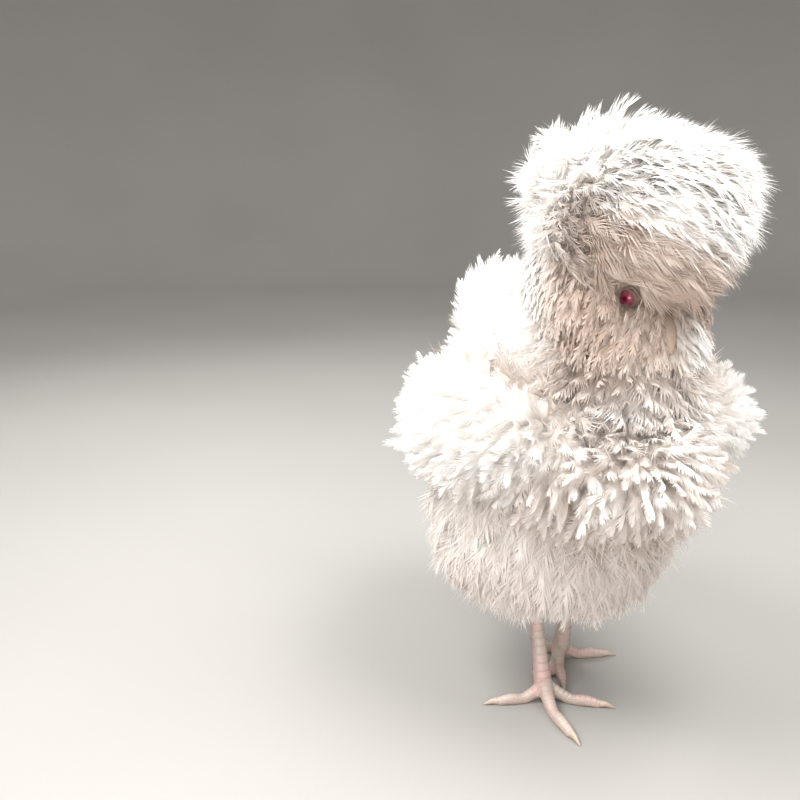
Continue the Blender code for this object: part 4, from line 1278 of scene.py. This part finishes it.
def make_fringe(ground, finish):
    """Fine strands that hang from under the crest over the forehead and the hen's left cheek."""
    chance = np.random.default_rng(SEEDS["fringe"])
    centre, radii = np.array(CREST_DOME[0]), np.array(CREST_DOME[1])
    tips, outward = spread_points(dome_form(), "fringe", chance)
    ways = unit((tips - centre) / radii)
    highest, lowest, backmost = 0.05, -0.55, 0.35
    low = (ways[:, 2] < highest) & (ways[:, 2] > lowest) & (ways[:, 1] < backmost)
    tips, outward, ways = tips[low], outward[low], ways[low]
    aside = lateral(tips)
    inward = (1 - np.clip(-ways[:, 2], 0, 1) * 0.25) - chance.uniform(0.0, 0.35, len(tips))
    tips = centre + (tips - centre) * np.stack([inward, inward, np.ones(len(tips))], axis=1)
    hang, cheek_hang = 0.004, 0.012
    tips[:, 2] -= hang + cheek_hang * np.clip(aside / 0.04, 0, 1) * chance.random(len(tips))
    level = unit(outward * [1, 1, 0.15])
    flow = np.tile([0.08, -0.03, -1.0], (len(tips), 1))
    starts = unit(ways + [0, 0, 0.55])
    aims = np.array(KNOB_CENTRE) + starts * np.array(KNOB_RADII)
    # Painted tan shade, for the strands hang under the crest
    painted_shade = uneven(np.full(len(tips), 0.68), chance, 0.08)
    coat = Coat()
    coat.stretch("fringe", tips, level, flow, chance, painted_shade, ground, aims=aims)
    coat.piece("coat_fringe", finish)


def in_skull(points):
    """Points of the hen's frame as the head sees them."""
    return np.array([HEAD.inverted() @ Vector(p) for p in points]).reshape(-1, 3)


def make_face(ground, finish):
    """Short velvety feathers over forehead and cheeks, clear of the eyes and the bill."""
    chance = np.random.default_rng(SEEDS["face"])
    coat = Coat()
    eye_clear, eye_front, bill_start = 0.0042, 0.004, 0.0185
    eyes = []
    for side in LEGS:
        front = mirrored(EYE_PLACE, side) + mirrored(EYE_OUTWARD, side) * eye_front
        eyes.append(np.array(HEAD @ front))
    points, _ = spread_points(skull_form(), "face", chance)
    roots, normals, unwraps, near = ground.roots(points, ROOT_LIMIT)
    away = np.min([np.linalg.norm(roots - eye, axis=1) for eye in eyes], axis=0)
    local = in_skull(roots)
    near &= (away > eye_clear) & (local[:, 0] < bill_start)
    roots, normals, unwraps, local = roots[near], normals[near], unwraps[near], local[near]
    lies = np.stack([np.full(len(local), -1.0), local[:, 1] * 20, -0.4 + local[:, 2] * 20], axis=1)
    lies = lies @ np.array(HEAD.to_3x3()).T
    # Painted tan shade, for the face lies under the crest
    painted_shade = uneven(np.full(len(roots), 0.72), chance, 0.06)
    coat.grow("face", roots, normals, lies, unwraps, chance, painted_shade)
    coat.piece("coat_face", finish)


def make_ruff(ground, finish):
    """Muffs and beard, soft and painted tan as shade, that go over into the white hackles of nape and
    shoulders.
    """
    chance = np.random.default_rng(SEEDS["ruff"])
    lowest, highest = 0.178, 0.288
    for kind, name in (("muff", "coat_muffs"), ("hackle", "coat_hackles")):
        coat = Coat()
        for depth, wider in COAT_LAYERS:
            tips, outward = spread_points(ruff_form(), kind, chance, wider)
            local = in_skull(tips)
            front = ramp(-tips[:, 1], 0.040, 0.03)
            border, overlap = 0.246 - 0.026 * front, 0.004
            chosen = (tips[:, 2] > border) if kind == "muff" else (tips[:, 2] <= border + overlap)
            chosen &= (tips[:, 2] < highest) & (tips[:, 2] > lowest)
            behind_bill, beside_bill = local[:, 0] < BILL_ROOM[0], abs(local[:, 1]) > BILL_ROOM[1]
            chosen &= behind_bill | beside_bill | (local[:, 2] < BILL_ROOM[2])
            tips, outward, front = tips[chosen], outward[chosen], front[chosen]
            near_side = np.clip(-lateral(tips) / 0.04, 0, 1)
            # Painted tan shade on the throat's front, more on the viewer's left; the tuft is left without
            # it
            painted_shade = 0.16 + 0.66 * front * ramp(tips[:, 2], 0.200, 0.03) + 0.10 * near_side * front
            tuft = np.clip(1.5 - np.linalg.norm(tips - BEARD_TUFT[0], axis=1) / BEARD_TUFT[1], 0, 1)
            painted_shade *= 1 - tuft
            curl = FEATHERS[kind]["curl"] + 40 * tuft
            proud = chance.normal(0, 0.0018, len(tips)) - depth + 0.005 * tuft
            tips = tips + outward * proud[:, None]
            painted_shade = uneven(painted_shade, chance, 0.07)
            coat.stretch(kind, tips, outward, ruff_flow(tips), chance, painted_shade, ground, curl=curl)
        coat.piece(name, finish)


def make_body(ground, finish):
    """Curling feathers over breast, shoulders, back and saddle."""
    chance = np.random.default_rng(SEEDS["body"])
    neighbours = [Outside(wing_coat_form(side)) for side in LEGS] + [Outside(ruff_form())]
    breast_end = -0.020
    # The lower edge: lower on the breast, and it rises to the hen's left
    hem, hem_front, hem_slope = 0.148, 0.018, 0.16
    for kind in ("breast", "saddle"):
        coat = Coat()
        for depth, wider in COAT_LAYERS:
            tips, outward = spread_points(body_coat_form(), kind, chance, wider)
            front = ramp(-tips[:, 1], -breast_end, 0.04)
            chosen = (tips[:, 1] < breast_end) if kind == "breast" else (tips[:, 1] >= breast_end)
            chosen &= tips[:, 2] > hem - hem_front * front + hem_slope * np.clip(tips[:, 0], 0, 1)
            for form in neighbours:
                chosen &= form.away(tips) > -OVERLAP
            tips, outward, front = tips[chosen], outward[chosen], front[chosen]
            # Painted shade: beige towards the breast's front and lower down
            painted_shade = 0.08 + 0.16 * front + 0.22 * ramp(-tips[:, 2], -0.165, 0.04)
            tips = tips + outward * (chance.normal(0, 0.0022, (len(tips), 1)) - depth)
            coat.stretch(kind, tips, outward, body_flow(tips), chance, uneven(painted_shade, chance, 0.10), ground)
        coat.piece("coat_" + kind, finish)


def make_fluff(ground, finish):
    """Fine down that hangs round belly, flanks and thighs."""
    chance = np.random.default_rng(SEEDS["fluff"])
    tips, outward = spread_points(fluff_form(), "fluff", chance)
    body = Outside(body_coat_form())
    highest, hem, press = 0.158, 0.070, 0.2
    chosen = (body.away(tips) > -OVERLAP) & (tips[:, 2] < highest)
    tips, outward = tips[chosen], outward[chosen]
    under = np.clip(-outward[:, 2] * 1.6, 0, 1)
    tips = tips + outward * chance.normal(0, 0.0016, (len(tips), 1))
    tips[:, 2] = np.where(tips[:, 2] < hem, hem + (tips[:, 2] - hem) * press, tips[:, 2])
    tips[:, 2] -= under * chance.uniform(-0.002, 0.006, len(tips))
    level = unit(outward * [1, 1, 0.3] + [0, 0, 0.02])
    # Painted shade, more where the fluff faces down
    painted_shade = uneven(0.28 + 0.14 * under, chance, 0.05)
    for name, part in (("coat_fluff_front", tips[:, 1] < 0.0), ("coat_fluff_back", tips[:, 1] >= 0.0)):
        coat = Coat()
        flow = down_flow(tips[part])
        coat.stretch("fluff", tips[part], level[part], flow, chance, painted_shade[part], ground)
        coat.piece(name, finish)


def make_wing(ground, finish, side):
    """Rounded curling coverts over a folded wing, and the flights under them."""
    chance = np.random.default_rng(SEEDS["wing_" + side])
    sign = SIGNS[side]
    coat = Coat()
    tips, outward = spread_points(wing_coat_form(side), "covert", chance)
    inmost = -0.20
    chosen = outward[:, 0] * sign > inmost
    tips, outward = tips[chosen], outward[chosen]
    tips = tips + outward * chance.normal(0, 0.0022, (len(tips), 1))
    flow = np.tile([0.1 * sign, 1.0, -0.35], (len(tips), 1))
    # Painted shade, more low on the wing
    low = ramp(-tips[:, 2], -0.165, 0.03)
    painted_shade = uneven(0.05 + 0.18 * low, chance, 0.05)
    coat.stretch("covert", tips, outward, flow, chance, painted_shade, ground)
    rows = np.array(smooth([(sign * x, y, z) for x, y, z, _, _ in WING], 12))
    places = rows[np.linspace(5, 11, FLIGHTS).astype(int)]
    places = places + chance.normal(0, 0.003, (FLIGHTS, 3)) - [0, 0, 0.008]
    roots, normals, unwraps, _ = ground.roots(places)
    outward = unit(normals * 0.4 + np.array([sign * 0.8, 0.3, 0.1]))
    lies = np.tile([0.0, 1.0, -0.30], (len(roots), 1))
    # The flights get a little painted shade
    coat.grow("flight", roots, outward, lies, unwraps, chance, np.full(len(roots), 0.15))
    coat.piece("coat_wing_" + side, finish)


def make_tail(ground, finish):
    """A short raised fan in tiers, carried to the hen's left, in a ring of fluffy coverts."""
    chance = np.random.default_rng(SEEDS["tail"])
    coat = Coat()
    start = Vector((0, *TAIL_BASE[1][:2]))
    # How much lower the outer feathers point, in degrees, and how the roots are set apart
    sag, root_spread, root_step = 12, 0.006, 0.004
    roots, crowns, ways = [], [], []
    for tier, (count, spread, lift) in enumerate(TAIL_TIERS):
        for k in range(count):
            share = 2 * k / (count - 1) - 1
            aside, rise = math.radians(TAIL_SKEW + spread * share), math.radians(lift - sag * abs(share))
            level = Vector((math.sin(aside), math.cos(aside), 0))
            along = level * math.cos(rise) + Vector((0, 0, math.sin(rise)))
            crown = Vector((share * 0.8, -0.8, 0.6))
            crown -= along * crown.dot(along)
            roots.append(start + Vector((share * root_spread, root_step, root_step * tier)))
            crowns.append(crown.normalized())
            ways.append(along)
    _, _, unwraps, _ = ground.roots(roots)
    # A little painted shade on the tail feathers
    painted_shade = np.full(len(roots), 0.1)
    coat.grow("tail_feather", np.array(roots), np.array(crowns), np.array(ways), unwraps, chance, painted_shade)
    tips, outward = spread_points(tail_coat_form(), "tail_covert", chance)
    undermost = -0.75
    chosen = outward[:, 2] > undermost
    tips, outward = tips[chosen], outward[chosen]
    tips = tips + outward * chance.normal(0, 0.0020, (len(tips), 1))
    flow = np.tile(np.array(TAIL_WAY), (len(tips), 1))
    # A little painted shade on the coverts
    painted_shade = uneven(np.full(len(tips), 0.08), chance, 0.05)
    coat.stretch("tail_covert", tips, outward, flow, chance, painted_shade, ground)
    coat.piece("coat_tail", finish)


def make_bill():
    """The two halves of the bill, with nostrils hollowed and the line of the mouth between them."""
    finish = horn_finish("bill_horn", (0.35, 0.26, 0.20), (0.29, 0.21, 0.16), (0.42, 0.32, 0.25), 0.42)
    for name, stations in (("bill_upper", UPPER_BILL), ("bill_lower", LOWER_BILL)):
        bill = loft(name, in_head(stations), 36, 40)
        places = coordinates(bill.data)
        local = in_skull(places)
        nostril_shade = np.zeros(len(places))
        if name == "bill_upper":
            for side in LEGS:
                spot = np.array(mirrored(NOSTRIL_PLACE, side))
                away = (local - spot) * np.array([0.65, 1.0, 1.35])
                pull = np.clip(1 - np.linalg.norm(away, axis=1) / NOSTRIL_REACH, 0, 1)
                nostril_shade = np.maximum(nostril_shade, pull)
                local[:, 1] -= SIGNS[side] * NOSTRIL_DEPTH * pull
            places = np.array([HEAD @ Vector(p) for p in local])
            bill.data.vertices.foreach_set("co", places.ravel())
        add_values(bill.data, "reach", ramp(local[:, 0], 0.024, 0.016))
        # How much painted shade darkens each nostril's dent
        add_values(bill.data, "nostril_shade", np.clip(nostril_shade * 1.6 - 0.3, 0, 1))
        bill.data.update()
        settle(bill, ["beak_upper" if name == "bill_upper" else "beak_lower"], finish)


def make_comb():
    """The two small horns of the comb."""
    horns = []
    for side in LEGS:
        rows = round_rows([(*(HEAD @ mirrored(place, side)), r) for *place, r in COMB_HORN])
        horns.append(loft("horn", rows, 20, 12))
    finish = flesh_finish("comb_flesh", (0.60, 0.10, 0.10), (0.50, 0.08, 0.09), 0.45)
    settle(joined("comb_horns", horns), ["comb"], finish)


def make_eyes():
    """Eyeballs with their rings of colour, and the lids round them."""
    finish = eye_finish()
    lid_finish = flesh_finish("lid_flesh", (0.74, 0.52, 0.45), (0.64, 0.43, 0.37), 0.55)
    for side in LEGS:
        outward = mirrored(EYE_OUTWARD, side)
        centre = mirrored(EYE_PLACE, side) + outward * EYE_BULGE
        eye = ball("eye_ball_" + side, centre, [EYE_RADIUS] * 3, HEAD, 48, 32)
        local = in_skull(coordinates(eye.data)) - np.array(centre)
        cosine = unit(local) @ np.array(outward)
        add_values(eye.data, "angle", np.arccos(np.clip(cosine, -1, 1)) / (math.pi / 2))
        settle(eye, ["eye_" + side], finish)
        settle(eye_lid(side, centre), [], lid_finish)


def eye_lid(side, centre):
    """An almond ring of folded skin round the eye."""
    outward = mirrored(EYE_OUTWARD, side)
    facing = outward.to_track_quat("Z", "Y").to_matrix()
    points, faces = [], []
    turns, folds = 48, 12
    lift = 0.0030
    for i in range(turns):
        a = 2 * math.pi * i / turns
        wide = 0.0048 + 0.0005 * abs(math.cos(a)) ** 3
        high = wide * (0.90 if math.sin(a) > 0 else 0.94)
        rim = Vector((math.cos(a) * wide, math.sin(a) * high, 0))
        outer = rim.normalized()
        thick = 0.00050 + 0.00006 * math.sin(a * 9) + 0.00012 * abs(math.cos(a)) ** 6
        for j in range(folds):
            b = 2 * math.pi * j / folds
            at = rim + outer * (math.cos(b) * thick * 1.5) + Vector((0, 0, math.sin(b) * thick + lift))
            points.append(HEAD @ (centre + facing @ at))
            here, after, fold = i * folds, (i + 1) % turns * folds, (j + 1) % folds
            faces.append((here + j, after + j, after + fold, here + fold))
    return mesh_object("eye_lid_" + side, points, faces)


def plate_rows(points_at, count, chance, lift):
    """Overlapping plates along a path: points_at(share, turn, lift) gives a place on the leg's front."""
    across, down = 7, 4
    sunk = -0.0002
    points, faces, edges = [], [], []
    for i in range(count):
        first = i / count
        start = len(points)
        reach = 0.94 / count * chance.uniform(0.96, 1.04)
        for v in range(down):
            for u in range(across):
                s, t = u / (across - 1) * 2 - 1, v / (down - 1)
                bow = 0.16 * (1 - s * s) / count
                edge = u in (0, across - 1) or v == down - 1
                raised = sunk if edge else lift * (0.25 + 0.75 * t) * (1 - abs(s) ** 4)
                points.append(points_at(first + reach * t + bow * t, s, raised))
                edges.append(1.0 if edge else 0.0)
        for v in range(down - 1):
            for u in range(across - 1):
                a = start + v * across + u
                faces.append((a, a + 1, a + across + 1, a + across))
    return points, faces, edges


def make_scutes():
    """Horny plates down the front of each shank and over each toe."""
    chance = np.random.default_rng(SEEDS["scutes"])
    finish = scute_finish()
    plate_reach = 0.0028
    points, faces, edges = [], [], []

    def take(made):
        """Adds plates to those that there are."""
        start = len(points)
        points.extend(made[0])
        faces.extend([tuple(start + i for i in face) for face in made[1]])
        edges.extend(made[2])

    def around(rows, spread, lift_way):
        """How plates find their places round a path, up to a spread in degrees from the way they face."""
        steps = 59
        drawn = smooth(rows, steps + 1)

        def at(share, turn, raised):
            """The place at a share of the path and of the spread, raised from the leg."""
            place = min(max(share, 0), 1) * steps
            low = min(int(place), steps - 1)
            row = drawn[low] + (drawn[low + 1] - drawn[low]) * (place - low)
            along = Vector(drawn[low + 1][:3] - drawn[low][:3]).normalized()
            front = (lift_way - along * lift_way.dot(along)).normalized()
            side = along.cross(front)
            angle = turn * math.radians(spread)
            return Vector(row[:3]) + (front * math.cos(angle) + side * math.sin(angle)) * (row[3] + raised)

        return at

    for side in LEGS:
        take(plate_rows(around(shank_rows(side), 74, Vector((0, -1, 0))), 17, chance, 0.0003))
        take(plate_rows(around(shank_rows(side), 50, Vector((0, 1, 0))), 13, chance, 0.0002))
        for _, *toe in TOES[side]:
            rows, _ = toe_path(side, *toe)
            count = int(toe[2] / plate_reach)
            take(plate_rows(around(rows, 66, Vector((0, 0, 1))), count, chance, 0.0003))
    scutes = mesh_object("leg_scutes", points, faces)
    add_values(scutes.data, "edge", edges)
    settle(scutes, [], finish)


def make_claws():
    """A curved claw of horn at the end of each toe."""
    finish = horn_finish("claw_horn", (0.62, 0.52, 0.43), (0.52, 0.42, 0.34), (0.42, 0.33, 0.27), 0.34)
    for side in LEGS:
        for name, *toe in TOES[side]:
            rows, ahead = toe_path(side, *toe)
            end, thick = Vector(rows[-1][:3]), rows[-1][3]
            stations = []
            for share, drop, slim in CLAW:
                r = thick * slim
                place = end + ahead * (CLAW_LENGTH * share) - Vector((0, 0, drop))
                place.z = max(place.z, r * 1.05)
                stations.append((*place, r * 0.85, r, r))
            horn = loft(f"claw_horn_{side}_{name}", stations, 20, 16)
            places = coordinates(horn.data)
            share = (places - np.array(end)) @ np.array(ahead) / CLAW_LENGTH
            add_values(horn.data, "reach", np.clip(share, 0, 1))
            add_values(horn.data, "nostril_shade", np.zeros(len(places)))
            settle(horn, [f"claw_{side}_{name}"], finish)


def make_floor():
    """A pale floor that curves up on all sides into a pale wall."""
    made, nodes, shader = surface("floor_pale", 0.8)
    tint = mottled(nodes, (0.36, 0.35, 0.335), (0.34, 0.33, 0.315), 2.0, 60.0)
    painted(nodes, shader, tint.outputs["Color"], tint.outputs["Height"], 0.05, 0.001)
    flat, bend, height = 2.2, 1.0, 2.6
    profile = [(0.4 * flat, 0.0), (flat, 0.0)]
    for a in np.linspace(0.1, math.pi / 2, 16):
        profile.append((flat + bend * math.sin(a), bend - bend * math.cos(a)))
    profile.append((flat + bend, height))
    turns = 72
    points, faces = [], []
    for k in range(turns):
        turn = 2 * math.pi * k / turns
        points += [(r * math.cos(turn), r * math.sin(turn), z) for r, z in profile]
        start, after = k * len(profile), (k + 1) % turns * len(profile)
        faces += [(start + i, after + i, after + i + 1, start + i + 1) for i in range(len(profile) - 1)]
    faces.append([k * len(profile) for k in range(turns)])
    floor = mesh_object("floor", points, faces)
    floor.data.flip_normals()
    floor.data.materials.append(made)


def make_lights():
    """Soft light from above, from both sides and from behind, and an even light all round."""
    world = bpy.data.worlds.new("studio")
    world.use_nodes = True
    background = world.node_tree.nodes["Background"]
    background.inputs["Color"].default_value = (1.0, 0.98, 0.96, 1)
    background.inputs["Strength"].default_value = 0.95
    bpy.context.scene.world = world
    bpy.context.scene.view_settings.view_transform = "Standard"
    target = Vector((0, -0.02, 0.20)) + SHIFT
    lamps = (
        ("top", (0.22, -0.36, 1.10), 0.60, 13.0, (1.0, 0.99, 0.98)),
        ("side", (-0.62, 0.02, 0.90), 0.50, 11.0, (1.0, 0.99, 0.98)),
        ("front", (-0.60, -0.90, 0.35), 0.90, 10.5, (1.0, 0.97, 0.95)),
        ("back", (-0.10, 0.90, 0.85), 0.60, 5.0, (1.0, 0.98, 0.96)),
    )
    for name, place, size, power, colour in lamps:
        light = bpy.data.lights.new(name, "AREA")
        light.size = size
        light.energy = power
        light.color = colour
        lamp = placed(name, light)
        lamp.location = Vector(place) + SHIFT
        lamp.rotation_euler = (target - lamp.location).to_track_quat("-Z", "Y").to_euler()


def make_camera():
    """The camera where the photograph was taken from, with its lens."""
    camera = bpy.data.cameras.new("camera")
    camera.lens = CAMERA_LENS
    camera.sensor_width = CAMERA_SENSOR
    camera.clip_start = 0.01
    obj = placed("camera", camera)
    obj.location = CAMERA_PLACE + SHIFT
    level = Vector((*CAMERA_AHEAD, 0)).normalized()
    ahead = level * math.cos(CAMERA_PITCH) - Vector((0, 0, math.sin(CAMERA_PITCH)))
    obj.rotation_euler = ahead.to_track_quat("-Z", "Y").to_euler()
    bpy.context.scene.camera = obj


make_camera()
make_lights()
make_floor()
skin_piece = make_skin()
coat_ground = Ground(skin_piece)
make_coats(coat_ground, feather_finish())
flesh_nodes = ["torso", "neck", "crest", "beard", "head", "tail"]
for leg_side in LEGS:
    flesh_nodes += [part + leg_side for part in ("wing_", "thigh_", "shank_", "foot_")]
settle(skin_piece, flesh_nodes, skin_finish())
make_eyes()
make_bill()
make_comb()
make_scutes()
make_claws()
